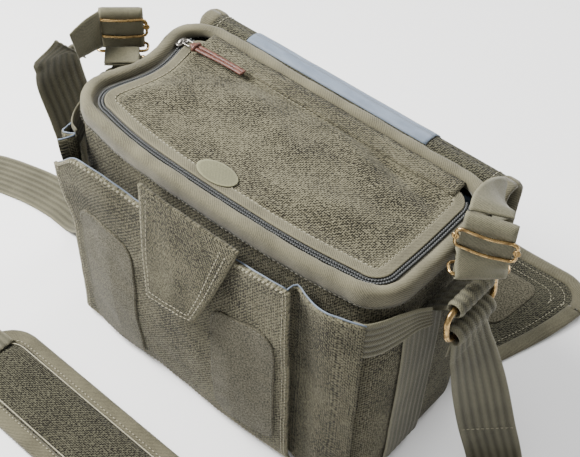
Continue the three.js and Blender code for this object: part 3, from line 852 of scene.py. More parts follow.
def make_lid():
    """The lid's canvas, its edging and stitches, the oval patch and the cloth fold at its hinge."""
    rows, (cx, cy) = lid_surface(LID_INSET + 0.0035, 0.0006)
    sketch = Sketch()
    side = [[p - Vector((0, 0, 0.0028)) for p in rows[0]]]
    lines = side + rows
    worn = [[0.5] * ROUND, [1.0] * ROUND, [0.5] * ROUND] + [[0.0] * ROUND] * (len(lines) - 3)
    first = len(sketch.verts)
    for row, wear in zip(lines, worn):
        sketch.verts.extend(row)
        sketch.worn.extend(wear)
    for i in range(len(lines) - 1):
        for j in range(ROUND):
            k = (j + 1) % ROUND
            face = (first + i * ROUND + j, first + i * ROUND + k,
                    first + (i + 1) * ROUND + k, first + (i + 1) * ROUND + j)
            sketch.faces.append(face)
            sketch.uvs.append([flat_uv(sketch.verts[a]) for a in face])
    top = slump(cx, cy, lid_height(cx, cy, 1.0) + 0.0006)
    sketch.fan(range(first + (len(lines) - 1) * ROUND, first + len(lines) * ROUND), top, flat_uv)
    under = Vector((cx, cy, rows[0][0].z - 0.0028))
    sketch.fan(range(first, first + ROUND), under, flat_uv)
    made = sketch.piece("lid_cloth", CANVAS)
    set_up(made, "lid", ["lid_panel"])

    edging = Sketch()
    ring = lid_outline(LID_INSET + 0.0010)
    path = [slump(x, y, 0.2436) for x, y in ring]
    sides = [Vector((-OUTWARD[i][0], -OUTWARD[i][1], 0.0)) for i in range(ROUND)]
    profile = tape_profile(0.0090, 0.0015)
    front = [i for i in range(ROUND) if ring[i][1] < HINGE_Y - 0.001]
    order = sorted(front, key=lambda i: (i + ROUND // 2) % ROUND)
    sweep(edging, [path[i] for i in order], [sides[i] for i in order], profile,
          wear=edge_wear(profile, 0.009, 0.002))
    set_up(edging.piece("lid_edging", BINDING), "lid")

    stitches = Sketch()
    for inset, lift in ((LID_INSET + 0.0055, 0.0012), (LID_INSET + 0.0030, 0.0006)):
        line = [slump(x, y, lid_height(x, y, 0.02) + lift) for x, y in lid_outline(inset)]
        stitch_row(stitches, [line[i] for i in order], [Vector((0, 0, 1))] * len(order), radius=0.0004)
    set_up(stitches.piece("lid_stitches", PALE_THREAD), "lid")

    low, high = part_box("lid_oval_patch")
    centre = (low + high) / 2 + Vector((0.0, 0.004, 0.0))
    ring = [(centre.x + 0.020 * math.cos(TAU * k / 40), centre.y + 0.011 * math.sin(TAU * k / 40))
            for k in range(40)]

    def on_lid(a, b, lift):
        inside = min(1.0, (0.066 + b) * 9 + 0.2)
        return slump(a, b, max(lid_height(a, b, inside), 0.2446) + 0.0004 + lift)
    made = patch(ring, on_lid, 0.0006, crown=0.0002).piece("lid_oval", OVAL)
    set_up(made, "lid", ["lid_oval_patch"])

    fold = Sketch()
    back = HALF_Y - 0.0085
    lines = []
    for y, z in ((HINGE_Y - 0.006, 0.2452), (HINGE_Y - 0.002, 0.2450), (HINGE_Y + 0.002, 0.2449),
                 (HINGE_Y + 0.005, 0.2452), (back, 0.2458)):
        lines.append([Vector((x, y, z + 0.0004 * wave(x * 30, y * 30)))
                      for x in np.linspace(-0.137, 0.137, 64)])
    fold.grid(lines)
    made = fold.piece("lid_fold", CANVAS, closed=False)
    thicken(made, 0.0012)
    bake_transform(made)
    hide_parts("lid_hinge_tape")


def zip_run(inset, z):
    """The zip's path along the left, front and right of the opening."""
    ring = [(PLAN[i][0] - OUTWARD[i][0] * inset, PLAN[i][1] - OUTWARD[i][1] * inset) for i in range(ROUND)]
    keep = [i for i in range(ROUND) if ring[i][1] < HINGE_Y - 0.002]
    order = sorted(keep, key=lambda i: (i + ROUND // 2) % ROUND)
    path = [slump(*ring[i], z) for i in order]
    sides = [Vector((-OUTWARD[i][0], -OUTWARD[i][1], 0.0)) for i in order]
    return path, sides


def coil(path, sides, radius, pitch):
    """A nylon coil: a round strand pinched between its turns."""
    rows = np.array([[*p, *s] for p, s in zip(path, sides)])
    fine = spline(rows, pitch / 4)
    sketch, along = Sketch(), tangents([r[:3] for r in fine])
    lines = []
    for i, row in enumerate(fine):
        side = Vector(row[3:6]).normalized()
        up = along[i].cross(side)
        grow = radius * (1 - 0.50 * (0.5 - 0.5 * math.cos(TAU * i / 4)))
        lines.append([Vector(row[:3]) + side * (grow * math.cos(TAU * k / 6))
                      + up * (grow * 0.8 * math.sin(TAU * k / 6)) for k in range(6)])
    first = sketch.grid(lines, ring_u=True)
    sketch.cap(list(range(first, first + 6)), flat_uv)
    last = first + (len(lines) - 1) * 6
    sketch.cap(list(range(last, last + 6)), flat_uv)
    return sketch


def make_zip():
    """Both zip tapes with their coils, one on the bag and one on the lid."""
    line = 0.0150
    pitch = 0.0023
    for body, node, tape_at, coil_at in (("bag", "zip_tape_body", 0.0112, line - 0.0014),
                                         ("lid", "zip_tape_lid", 0.0182, line + 0.0014)):
        tape = Sketch()
        path, sides = zip_run(tape_at, 0.2411)
        sweep(tape, path, sides, tape_profile(0.0062, 0.0008, 4))
        made = tape.piece(f"{node}_cloth", ZIP_TAPE)
        set_up(made, body, [node])
        path, sides = zip_run(coil_at, 0.2425)
        set_up(coil(path, sides, 0.0017, pitch).piece(f"{node}_coil", COIL), body)


def make_slider():
    """A small metal slider body with its bridge and wire link, and the looped leather lace."""
    low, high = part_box("zip_slider")
    cx, cy = (low.x + high.x) / 2, (low.y + high.y) / 2
    sketch = Sketch()
    plan = [(-0.0024, -0.0068), (0.0024, -0.0068), (0.0038, -0.001), (0.0042, 0.0052), (0.0022, 0.0068),
            (0.0, 0.0056), (-0.0022, 0.0068), (-0.0042, 0.0052), (-0.0038, -0.001)]
    lines = []
    for z, share in ((0.0, 0.9), (0.0005, 1.0), (0.0013, 1.0), (0.0018, 0.86)):
        lines.append([Vector((cx + x * share, cy + y * share, low.z - 0.0004 + z)) for x, y in plan])
    first = sketch.grid(lines, ring_u=True)
    sketch.cap(list(range(first, first + 9)), flat_uv)
    sketch.cap(list(range(first + 27, first + 36)), flat_uv)
    bridge = [(cx, cy + y, low.z + 0.0008 + 0.0028 * math.sin(math.pi * t)) for t, y in
              zip(np.linspace(0, 1, 9), np.linspace(-0.0052, 0.0048, 9))]
    sweep(sketch, bridge, [Vector((1, 0, 0))] * 9, tape_profile(0.0026, 0.0009, 4))
    made = sketch.piece("zip_slider_metal", STEEL)
    set_up(made, "zip_slider", ["zip_slider"])

    low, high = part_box("zip_pull")
    start = Vector((cx + 0.0005, cy, low.z + 0.0008))
    link = Sketch()
    ring = rounded(start.x + 0.0018, start.x + 0.0135, cy - 0.0031, cy + 0.0031, 0.0028, 0.0009)
    path = [Vector((a, b, low.z + 0.0012 + 0.0006 * ease(start.x, start.x + 0.012, a))) for a, b in ring]
    sweep(link, path, [Vector((0, 0, 1))] * len(path), round_profile(0.00075, 8), ring=True)
    set_up(link.piece("zip_link", STEEL), "zip_pull")

    lace = Sketch()
    end = high.x
    for sign in (-1, 1):
        stations = [(start.x + 0.0125, cy + sign * 0.0004, low.z + 0.0030),
                    (start.x + 0.016, cy + sign * 0.0017, low.z + 0.0022),
                    (start.x + 0.030, cy + sign * 0.0023, low.z + 0.0030),
                    (start.x + 0.048, cy + sign * 0.0019, low.z + 0.0042),
                    (end - 0.004, cy + sign * 0.0018, low.z + 0.0048),
                    (end, cy + sign * 0.0019, low.z + 0.0047)]
        path = spline(stations, 0.0012)[:, :3]
        sweep(lace, path, [Vector((0, 1, 0))] * len(path), round_profile(0.0019, 10, 0.72))
    knot = [(start.x + 0.0175, cy + 0.0046 * math.cos(TAU * k / 16),
             low.z + 0.0024 + 0.0021 * math.sin(TAU * k / 16)) for k in range(16)]
    sweep(lace, knot, [Vector((1, 0, 0))] * 16, round_profile(0.0016, 8), ring=True)
    set_up(lace.piece("zip_lace", LEATHER), "zip_pull", ["zip_pull"])


# ------------------------------------------------------------------ front pocket
POCKET_LOW, POCKET_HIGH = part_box("pocket_panel")
POCKET_FACE = POCKET_LOW.y


def pocket(u, v, lift=0.0):
    """A point on the pocket panel: u 0 to 1 left to right, v 0 to 1 from its foot to its top edge."""
    left = -0.1500 - 0.0070 * ease(0.55, 1.0, v)
    right = 0.1080 - 0.0060 * v
    x = left + (right - left) * u
    hump = 0.012 * bump((u - 0.16) / 0.22) - 0.016 * (1 - ease(0.0, 0.13, u))
    top = 0.2130 + hump + 0.019 * ease(0.45, 1.0, u)
    foot = 0.0015 + 0.0040 * ease(0.6, 1.0, u)
    z = foot + (top - foot) * v
    edge = min(1.0, 4.5 * min(u, 1 - u))
    belly = 0.0085 * math.sin(math.pi * v ** 0.8) * edge
    corner = 0.0085 * ease(0.62, 1.0, v) * bump((u - 0.10) / 0.26)
    sag = 0.0015 * wave(u * 5, v * 5, 1.3) + 0.0008 * wave(u * 14, v * 12, 4.1)
    tuck = -0.0035 * (1 - ease(0.0, 0.05, v))
    return Vector((x, POCKET_FACE + 0.0012 - belly - corner - sag - tuck - lift, z))


def pocket_normal_lift(u, v, lift):
    """A point lifted straight off the panel's curved face."""
    e = 0.004
    a = pocket(u + e, v) - pocket(u - e, v)
    b = pocket(u, v + e) - pocket(u, v - e)
    normal = a.cross(b).normalized()
    return pocket(u, v) + normal * lift


def make_pocket():
    """The pocket's panel and lining, its stitches and its two loop patches."""
    sketch = Sketch()
    across, up = 64, 56
    rows, worn = [], []
    for j in range(up + 1):
        v = j / up
        rows.append([pocket(i / across, v) for i in range(across + 1)])
        worn.append([max(1 - min(i, across - i) / 1.6, 1 - (up - j) / 1.6, 0.0) for i in range(across + 1)])
    width = POCKET_HIGH.x - POCKET_LOW.x
    height = POCKET_HIGH.z
    sketch.grid(rows, [width * i / across for i in range(across + 1)],
                [height * j / up for j in range(up + 1)], wear=worn)
    made = sketch.piece("pocket_cloth", CANVAS, closed=False)
    thicken(made, 0.0024, -1.0)
    set_up(made, "bag", ["pocket_panel"])

    inner = Sketch()
    rows = [[pocket(0.02 + 0.96 * i / across, v, -0.0030) for i in range(across + 1)]
            for v in np.linspace(0.02, 1.002, 30)]
    inner.grid(rows)
    made = inner.piece("pocket_lining", LINING, closed=False)
    thicken(made, 0.0006)
    set_up(made, "bag")

    stitches = Sketch()
    for inset in (0.010, 0.022):
        line = [(inset, v) for v in np.linspace(0.01, 0.985, 90)]
        line += [(u, 1 - 0.6 * inset) for u in np.linspace(inset, 1 - inset, 90)]
        line += [(1 - inset, v) for v in np.linspace(0.985, 0.01, 90)]
        path = [pocket_normal_lift(u, v, 0.0001) for u, v in line]
        stitch_row(stitches, path, [Vector((0, -1, 0))] * len(path), radius=0.00038)
    for inset in (0.012, 0.026):
        path = [pocket_normal_lift(u, inset, 0.0001) for u in np.linspace(0.01, 0.99, 90)]
        stitch_row(stitches, path, [Vector((0, -1, 0))] * len(path), radius=0.0005)
    set_up(stitches.piece("pocket_stitches", PALE_THREAD), "bag")

    spots = {"left": (0.065, 0.340, 0.04, 0.74), "right": (0.700, 0.950, 0.10, 0.735)}
    for side, (u0, u1, v0, v1) in spots.items():
        ring = rounded(u0 * width, u1 * width, v0 * height, v1 * height, 0.016)

        def on_pocket(a, b, lift):
            return pocket_normal_lift(a / width, b / height, lift + 0.0002)
        made = patch(ring, on_pocket, 0.0013, rings=14).piece(f"loop_patch_{side}_fuzz", LOOP)
        set_up(made, "bag", [f"loop_patch_{side}"])
        edge = Sketch()
        centre = (sum(a for a, _ in ring) / len(ring), sum(b for _, b in ring) / len(ring))
        line = []
        for a, b in ring + ring[:1]:
            pull = 0.0022 / math.hypot(a - centre[0], b - centre[1])
            line.append(on_pocket(a + (centre[0] - a) * pull, b + (centre[1] - b) * pull, 0.0014))
        stitch_row(edge, line, [Vector((0, -1, 0))] * len(line), radius=0.0003)
        set_up(edge.piece(f"loop_patch_{side}_stitches", DARK_THREAD), "bag")


def gusset_line(side, v):
    """Plan points of a bellows gusset at share v of its height, from the body's seam to the panel."""
    sign = 1 if side == "right" else -1
    edge = pocket(1.0 if side == "right" else 0.0, v)
    z = 0.003 + 0.2235 * v
    open_top = ease(0.45, 1.0, v)
    seam = Vector((sign * 0.1595, -0.0835, z))
    if side == "right":
        middle = Vector((0.128, -0.0930 - 0.0020 * open_top, z))
        valley = Vector((0.0985, -0.0890, z))
    else:
        middle = Vector((-0.1570, -0.0935 - 0.0020 * open_top, z))
        valley = Vector((-0.1450, -0.0895, z))
    panel = Vector((edge.x - sign * 0.0060, edge.y + 0.0036, z))
    return [seam, seam.lerp(middle, 0.5) + Vector((0, -0.0012, 0)), middle,
            middle.lerp(valley, 0.6) + Vector((0, -0.0004, 0)), valley,
            valley.lerp(panel, 0.5) + Vector((-sign * 0.0012, 0, 0)), panel]


def make_gussets():
    """The pocket's folded sides and the lining that shows along their tops."""
    for side in ("left", "right"):
        sketch, lining = Sketch(), Sketch()
        rows, inner, worn = [], [], []
        for v in np.linspace(0, 1, 48):
            line = spline([tuple(p) for p in gusset_line(side, v)], 0.0035)
            row = []
            for p in np.array([line[round(k)] for k in np.linspace(0, len(line) - 1, 20)]):
                wrinkle = 0.0012 * wave(p[0] * 40, v * 7, 2.2) + 0.0006 * wave(p[0] * 90, v * 20, 6.2)
                row.append(Vector((p[0], p[1] + wrinkle,
                                   p[2] + 0.004 * ease(0.6, 1, v) * wave(p[0] * 25, 0.3))))
            rows.append(row)
            inner.append([p + Vector((0, 0.0014, 0.0)) for p in row])
            worn.append([1.0 if v > 0.985 else 0.0] * len(row))
        sketch.grid(rows, wear=worn)
        made = sketch.piece(f"gusset_{side}", CANVAS, closed=False)
        thicken(made, 0.0016)
        set_up(made, "bag", [f"pocket_gusset_{side}"])
        top = [p + Vector((0, 0.0008, 0.0006)) for p in rows[-1]]
        profile = round_profile(0.0007, 8)
        sweep(lining, top, [Vector((0, 0, 1))] * len(top), profile)
        set_up(lining.piece(f"gusset_{side}_piping", LINING), "bag")


TAB_LOW, TAB_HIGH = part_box("pocket_tab")


def make_tab():
    """The pointed cover tab that hangs from under the rim over the pocket's mouth."""
    sketch = Sketch()
    rows, worn = [], []
    down, across = 40, 34
    for j in range(down + 1):
        t = j / down
        left = -0.056 + (0.0265) * t
        right = 0.0515 - 0.0275 * t
        row, wear = [], []
        for i in range(across + 1):
            s = i / across
            x = left + (right - left) * s
            tip = -0.0100 * s * ease(0.5, 1.0, t)
            z = TAB_HIGH.z + 0.002 - (TAB_HIGH.z - TAB_LOW.z + 0.002) * t - tip
            arch = 0.0045 * math.sin(math.pi * t) + 0.0018 * math.sin(math.pi * s)
            y = TAB_HIGH.y - 0.0015 - (TAB_HIGH.y - TAB_LOW.y - 0.003) * t ** 1.15 - arch * 0.6
            row.append(Vector((x, y + 0.0008 * wave(s * 5, t * 5, 8.0), z)))
            wear.append(max(1 - min(i, across - i) / 1.3, 1 - (down - j) / 1.3, 0.0))
        rows.append(row)
        worn.append(wear)
    sketch.grid(rows, wear=worn)
    made = sketch.piece("tab_cloth", CANVAS, closed=False)
    thicken(made, 0.0030, 1.0)
    set_up(made, "pocket_tab", ["pocket_tab"])

    stitches = Sketch()
    for inset in (2, 4):
        line = [rows[j][inset] for j in range(2, down + 1 - inset)]
        line += [rows[down - inset][i] for i in range(inset, across + 1 - inset)]
        line += [rows[j][across - inset] for j in range(down - inset, 1, -1)]
        path = [p + Vector((0, -0.0031, -0.0002)) for p in line]
        stitch_row(stitches, path, [Vector((0, -1, 0.2))] * len(path), radius=0.00038)
    set_up(stitches.piece("tab_stitches", PALE_THREAD), "pocket_tab")


# ------------------------------------------------------------------ sides: webbing, rings and tabs
RING_MIDDLE_Y = (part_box("strap_ring_right")[0].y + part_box("strap_ring_right")[1].y) / 2


def make_sides():
    """The ribbed webbing down each side, with its ring, anchor and corner tab."""
    for side, sign in (("left", -1), ("right", 1)):
        low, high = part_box(f"side_webbing_{side}")
        middle = (low.y + high.y) / 2
        at = place_on_outline(sign * HALF_X, middle)
        sketch = Sketch()
        path = [wall(at, z, 0.0016) for z in np.linspace(low.z, high.z + 0.006, 60)]
        profile = ribbed_profile(WEB, WEB_THICK)
        sweep(sketch, path, [Vector((0, 1, 0))] * len(path), profile, wear=edge_wear(profile, WEB))
        made = sketch.piece(f"side_webbing_{side}_ribs", WEBBING)
        set_up(made, "bag", [f"side_webbing_{side}"])

        make_ring(side)
        make_anchor(side, sign)
        make_corner_tab(side, sign)


def ring_frame(side):
    """The middle of a strap ring's two long bars, the lean between them, and half its length."""
    low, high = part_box(f"strap_ring_{side}")
    sign = 1 if side == "right" else -1
    inner = min(abs(low.x), abs(high.x)) + 0.0018
    outer = max(abs(low.x), abs(high.x)) - 0.0018
    upper = Vector((sign * inner, RING_MIDDLE_Y, high.z - 0.0025))
    lower = Vector((sign * outer, RING_MIDDLE_Y, low.z + 0.0025))
    return upper, lower, (high.y - low.y) / 2 - 0.0025


def make_ring(side):
    """The big oval ring of one side."""
    upper, lower, half = ring_frame(side)
    drop = (lower - upper).length
    down = (lower - upper).normalized()
    ring = rounded(-half, half, 0.0, drop, 0.0095, 0.0022)
    path = [upper + down * b + Vector((0, a, 0)) for a, b in ring]
    sketch = Sketch()
    facing = down.cross(Vector((0, 1, 0)))
    sweep(sketch, path, [facing] * len(path), round_profile(0.0024, 14), ring=True)
    made = sketch.piece(f"strap_ring_{side}_wire", BRASS)
    set_up(made, f"strap_ring_{side}", [f"strap_ring_{side}"])


def eye_path(bar, radius, tails, steps=26):
    """A band that leaves each tail, goes once round the bar and comes back."""
    first, last = (Vector(t) for t in tails)
    around = []
    start = math.atan2(first.z - bar.z, first.x - bar.x)
    stop = math.atan2(last.z - bar.z, last.x - bar.x)
    turn = (start - stop) % TAU
    for k in range(steps + 1):
        a = start - (turn if turn > math.pi else turn - TAU) * k / steps
        around.append((bar.x + radius * math.cos(a), bar.y, bar.z + radius * math.sin(a)))
    return spline([tuple(first)] + around + [tuple(last)], 0.0014)[:, :3]


def make_anchor(side, sign):
    """Webbing sewn to the wall and folded round the ring's upper bar."""
    upper, _, _ = ring_frame(side)
    foot_x = sign * (HALF_X + 0.0045)
    low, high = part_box(f"ring_anchor_{side}")
    tails = [(foot_x, upper.y, low.z + 0.001), (foot_x + sign * 0.0036, upper.y, low.z + 0.004)]
    if sign < 0:
        tails = [tails[1], tails[0]]
    path = eye_path(upper, 0.0060, tails)
    width = high.y - low.y
    sketch = Sketch()
    profile = ribbed_profile(width, 0.0024, ribs=6)
    sweep(sketch, path, [Vector((0, 1, 0))] * len(path), profile, wear=edge_wear(profile, width))
    made = sketch.piece(f"ring_anchor_{side}_web", WEBBING)
    set_up(made, "bag", [f"ring_anchor_{side}"])


def make_corner_tab(side, sign):
    """Webbing sewn round the front corner that gathers towards the ring's end."""
    stations = [(sign * 0.1500, -0.0850, 0.2065, 1.0), (sign * 0.1585, -0.0820, 0.2070, 1.0),
                (sign * 0.1665, -0.0720, 0.2090, 1.0), (sign * 0.1730, -0.0575, 0.2120, 0.9),
                (sign * 0.1785, -0.0450, 0.2150, 0.66), (sign * 0.1850, -0.0360, 0.2165, 0.52)]
    rows = spline(stations, 0.0022)
    sketch = Sketch()
    profile = ribbed_profile(0.040, 0.0026, ribs=6, depth=0.0008)
    path = [Vector(r[:3]) for r in rows]
    sweep(sketch, path, [Vector((0, 0, 1))] * len(path), profile, widen=[r[3] for r in rows],
          wear=edge_wear(profile, 0.040))
    made = sketch.piece(f"corner_tab_{side}_web", WEBBING)
    set_up(made, "bag", [f"corner_tab_{side}"])


# ------------------------------------------------------------------ rim rings, tape loops and wire sliders
ACROSS = Vector((0.72, 0.69, 0)).normalized()
FACING = Vector((ACROSS.y, -ACROSS.x, 0))      # out of the loop's face, towards the front
WIRE = 0.0026
WIRE_HALF = TAPE / 2 + 0.0045
LOOPS = {
    "right": {"at": Vector((0.197, 0.0, 0.0)), "slider": 0.278, "inward": 1, "twist": 0.42},
    "left": {"at": Vector((-0.196, 0.012, 0.0)), "slider": 0.256, "inward": -1, "twist": 0.0},
}


def turned(loop, z):
    """The directions across the tape and out of its face at height z: the loop's top is twisted."""
    turn = Matrix.Rotation(-loop["twist"] * ease(loop["slider"] - 0.034, loop["slider"] - 0.016, z), 3, "Z")
    return turn @ ACROSS, turn @ FACING


def local(loop, across, out, z):
    """A point by its distance across the tape, out of its face, and its height."""
    side, face = turned(loop, z)
    return loop["at"] + side * across + face * out + Vector((0, 0, z))


def make_tape_loop(side, loop):
    """The smooth tape loop that stands at one side of the rim."""
    low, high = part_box(f"tape_loop_{side}")
    ring = rounded(-0.0042, 0.0042, low.z + 0.0002, high.z, 0.0041, 0.0016)
    path = []
    for out, z in ring:
        bag = 0.0008 * wave(out * 300, z * 60, 3.0)
        path.append(local(loop, 0.0, out + bag, z))
    sketch = Sketch()
    profile = tape_profile(TAPE, 0.0017, 12)
    sides = [turned(loop, z)[0] for _, z in ring]
    sweep(sketch, path, sides, profile, ring=True, wear=edge_wear(profile, TAPE, 0.002))
    made = sketch.piece(f"tape_loop_{side}_cloth", SMOOTH_TAPE)
    set_up(made, "bag", [f"tape_loop_{side}"])


def make_wire_slider(side, loop):
    """A wire frame with a middle bar: the tape runs behind the frame and over the bar."""
    sketch = Sketch()
    z0, z1 = loop["slider"] - 0.0067, loop["slider"] + 0.0107
    facing = turned(loop, loop["slider"])[1]
    half = WIRE_HALF - WIRE / 2
    ring = rounded(-half, half, z0, z1, 0.0042, 0.0016)
    path = [local(loop, a, 0.0066 + 0.0010 * math.cos(math.pi * a / half), z) for a, z in ring]
    sweep(sketch, path, [facing] * len(path), round_profile(WIRE / 2, 12), ring=True)
    bar_z = loop["slider"] + 0.0032
    bar = [local(loop, a, 0.0, bar_z) for a in np.linspace(-half, half, 14)]
    ends = [local(loop, -half, o, bar_z) for o in (0.0056, 0.0036, 0.0014)]
    far = [local(loop, half, o, bar_z) for o in (0.0014, 0.0036, 0.0056)]
    sweep(sketch, ends + bar + far, [Vector((0, 0, 1))] * 20, round_profile(WIRE / 2 * 0.95, 12))
    for sign in (-1, 1):
        collar = [local(loop, sign * half + 0.0021 * math.cos(TAU * k / 14), 0.0062,
                        bar_z + 0.0021 * math.sin(TAU * k / 14)) for k in range(14)]
        sweep(sketch, collar, [facing] * 14, round_profile(0.0010, 8), ring=True)
    made = sketch.piece(f"wire_slider_{side}_wire", BRASS)
    set_up(made, f"wire_slider_{side}", [f"wire_slider_{side}"])


def make_rim_ring(side, loop):
    """The small ring at the rim and the tab that holds it."""
    low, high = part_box(f"rim_ring_{side}")
    z = (low.z + high.z) / 2
    half = WIRE_HALF - WIRE / 2
    inner, outer = 0.0, 0.0117
    ring = rounded(-half, half, inner, outer, 0.0038, 0.0016)
    path = [local(loop, a, -loop["inward"] * b, z) for a, b in ring]
    sketch = Sketch()
    sweep(sketch, path, [Vector((0, 0, 1))] * len(path), round_profile(WIRE / 2, 12), ring=True)
    made = sketch.piece(f"rim_ring_{side}_wire", BRASS)
    set_up(made, "bag", [f"rim_ring_{side}"])

    # the tab that holds the ring's inner bar against the rim
    tab = Sketch()
    bar = 0.0117
    width = TAPE - 0.008
    reach = 0.030
    lines = []
    for k in range(11):
        a = math.pi / 2 + math.pi * k / 10
        lines.append((bar + 0.0030 * math.cos(a), 0.0030 * math.sin(a)))
    lines = [(reach, 0.0012)] + [(b, h) for b, h in lines] + [(reach, -0.0012)]
    path = [local(loop, 0.0, -loop["inward"] * b, z + h) for b, h in lines]
    rows = spline([tuple(p) for p in path], 0.0016)[:, :3]
    profile = tape_profile(width, 0.0015, 10)
    sweep(tab, rows, [ACROSS] * len(rows), profile, wear=edge_wear(profile, width, 0.002))
    made = tab.piece(f"rim_tab_{side}_cloth", SMOOTH_TAPE)
    set_up(made, "bag", [f"rim_tab_{side}"])


def make_tapes():
    """The smooth tapes that run from the loops."""
    routes = {
        "right": (TAPE - 0.006, [
            (0.1940, 0.003, 0.3015, 0.80, 0.60, 0), (0.189, 0.014, 0.301, 0.80, 0.50, -0.20),
            (0.1845, 0.032, 0.290, 0.80, 0.0, -0.55), (0.1790, 0.050, 0.271, 0.50, -0.65, -0.55),
            (0.1715, 0.059, 0.252, 0.25, -0.87, -0.42), (0.1655, 0.0630, 0.236, 0.67, -0.74, 0)]),
        "left": (TAPE - 0.002, [
            (-0.2035, -0.006, 0.258, 0.1, 0.2, -0.97), (-0.2035, -0.016, 0.2585, 0.03, 0.22, -0.97),
            (-0.2030, -0.026, 0.258, -0.02, 0.3, -0.95), (-0.2038, -0.036, 0.2555, -0.1, 0.45, -0.85)]),
    }
    for name, (width, route) in routes.items():
        rows = spline(route, 0.0022)
        profile = tape_profile(width, 0.0017, 12)
        sketch = Sketch()
        sweep(sketch, [Vector(r[:3]) for r in rows], [Vector(r[3:6]) for r in rows], profile,
              wear=edge_wear(profile, width, 0.002))
        made = sketch.piece(f"tape_{name}_cloth", SMOOTH_TAPE)
        set_up(made, "bag", [f"tape_{name}"])


# ------------------------------------------------------------------ shoulder strap
PAD_LOW, PAD_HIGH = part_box("shoulder_pad")
PAD_Y = (PAD_LOW.y + PAD_HIGH.y) / 2
FLOOR_LIFT = WEB_THICK / 2 + 0.0002

# Points of each strap's middle line with the direction across it, in metres, as the CAD routes them.
LEFT_ROUTE = [
    (-0.2055, -0.0385, 0.2535, -0.15, 0.55, -0.80), (-0.2140, -0.0440, 0.248, -0.3, 0.8, -0.5),
    (-0.2220, -0.0420, 0.238, -0.15, 0.97, -0.2), (-0.2280, -0.0390, 0.214, 0, 1, 0),
    (-0.2210, -0.0360, 0.175, 0, 1, 0), (-0.2130, -0.0340, 0.135, 0, 1, 0),
    (-0.2090, -0.0310, 0.090, 0, 1, 0), (-0.2120, -0.0280, 0.050, 0, 1, 0),
    (-0.2240, -0.0260, 0.018, 0, 1, 0), (-0.2460, -0.0240, 0.0036, 0, 1, 0),
    (-0.2820, -0.0230, FLOOR_LIFT, 0, 1, 0), (-0.3300, -0.0310, FLOOR_LIFT, -0.2, 1, 0),
    (-0.3850, -0.0520, FLOOR_LIFT, -0.5, 0.85, 0), (-0.4240, -0.0960, FLOOR_LIFT, -1, 0.1, 0),
    (-0.4140, -0.1500, FLOOR_LIFT, -0.85, -0.55, 0), (-0.3660, -0.1860, FLOOR_LIFT, -0.45, -0.9, 0),
    (-0.3000, -0.2020, FLOOR_LIFT, -0.1, -1, 0), (-0.2200, PAD_Y, 0.0030, 0, -1, 0),
    (PAD_LOW.x + 0.004, PAD_Y, 0.0085, 0, -1, 0), (PAD_LOW.x + 0.024, PAD_Y, 0.0115, 0, -1, 0),
]
RIGHT_ROUTE = [
    (0.2025, -0.004, 0.176, 0, 1, 0), (0.2045, -0.003, 0.166, 0.1, 1, 0),
    (0.209, -0.001, 0.150, 0.2, 0.98, 0), (0.218, 0.008, 0.105, 0.5, 0.86, 0),
    (0.228, 0.017, 0.055, 0.7, 0.72, 0), (0.238, 0.022, 0.020, 0.74, 0.67, 0),
    (0.252, 0.014, 0.004, 0.74, 0.67, 0), (0.278, -0.012, FLOOR_LIFT, 0.8, 0.6, 0),
    (0.304, -0.062, FLOOR_LIFT, 1, 0.25, 0), (0.306, -0.118, FLOOR_LIFT, 0.97, -0.25, 0),
    (0.276, -0.172, FLOOR_LIFT, 0.6, -0.8, 0), (0.224, -0.200, FLOOR_LIFT, 0.2, -0.98, 0),
    (0.192, PAD_Y, 0.0030, 0, -1, 0), (PAD_HIGH.x - 0.004, PAD_Y, 0.0085, 0, -1, 0),
    (PAD_HIGH.x - 0.024, PAD_Y, 0.0115, 0, -1, 0),
]


def make_straps():
    """Both ends of the shoulder strap, the right one's doubled end and its cross seam."""
    for name, route, width in (("left", LEFT_ROUTE, WEB), ("right", RIGHT_ROUTE, WEB - 0.002)):
        rows = spline(route, 0.0034)
        profile = ribbed_profile(width, WEB_THICK)
        sketch = Sketch()
        sweep(sketch, [Vector(r[:3]) for r in rows], [Vector(r[3:6]) for r in rows], profile,
              wear=edge_wear(profile, width))
        made = sketch.piece(f"strap_{name}_web", WEBBING)
        set_up(made, "bag", [f"strap_{name}"])

        if name == "right":
            seam = Sketch()
            low_row = min(range(len(rows)), key=lambda k: abs(rows[k][2] - 0.052))
            spot, side = Vector(rows[low_row][:3]), Vector(rows[low_row][3:6]).normalized()
            out = tangents([r[:3] for r in rows])[low_row].cross(side)
            out = out if out.y < 0 else -out
            line = [spot + side * s + out * (WEB_THICK / 2) for s in np.linspace(-0.023, 0.023, 12)]
            stitch_row(seam, line, [out] * 12, radius=0.0005)
            set_up(seam.piece("strap_right_seam", PALE_THREAD), "bag")

    _, lower, _ = ring_frame("right")
    tails = [(lower.x - 0.0016, lower.y, 0.172), (lower.x + 0.0034, lower.y, 0.168)]
    path = eye_path(lower, 0.0072, tails, 30)
    width = 0.048
    profile = ribbed_profile(width, 0.0024)
    sketch = Sketch()
    sweep(sketch, path, [Vector((0, 1, 0))] * len(path), profile, wear=edge_wear(profile, width))
    made = sketch.piece("strap_loop_right_web", WEBBING)
    set_up(made, "bag", ["strap_loop_right"])


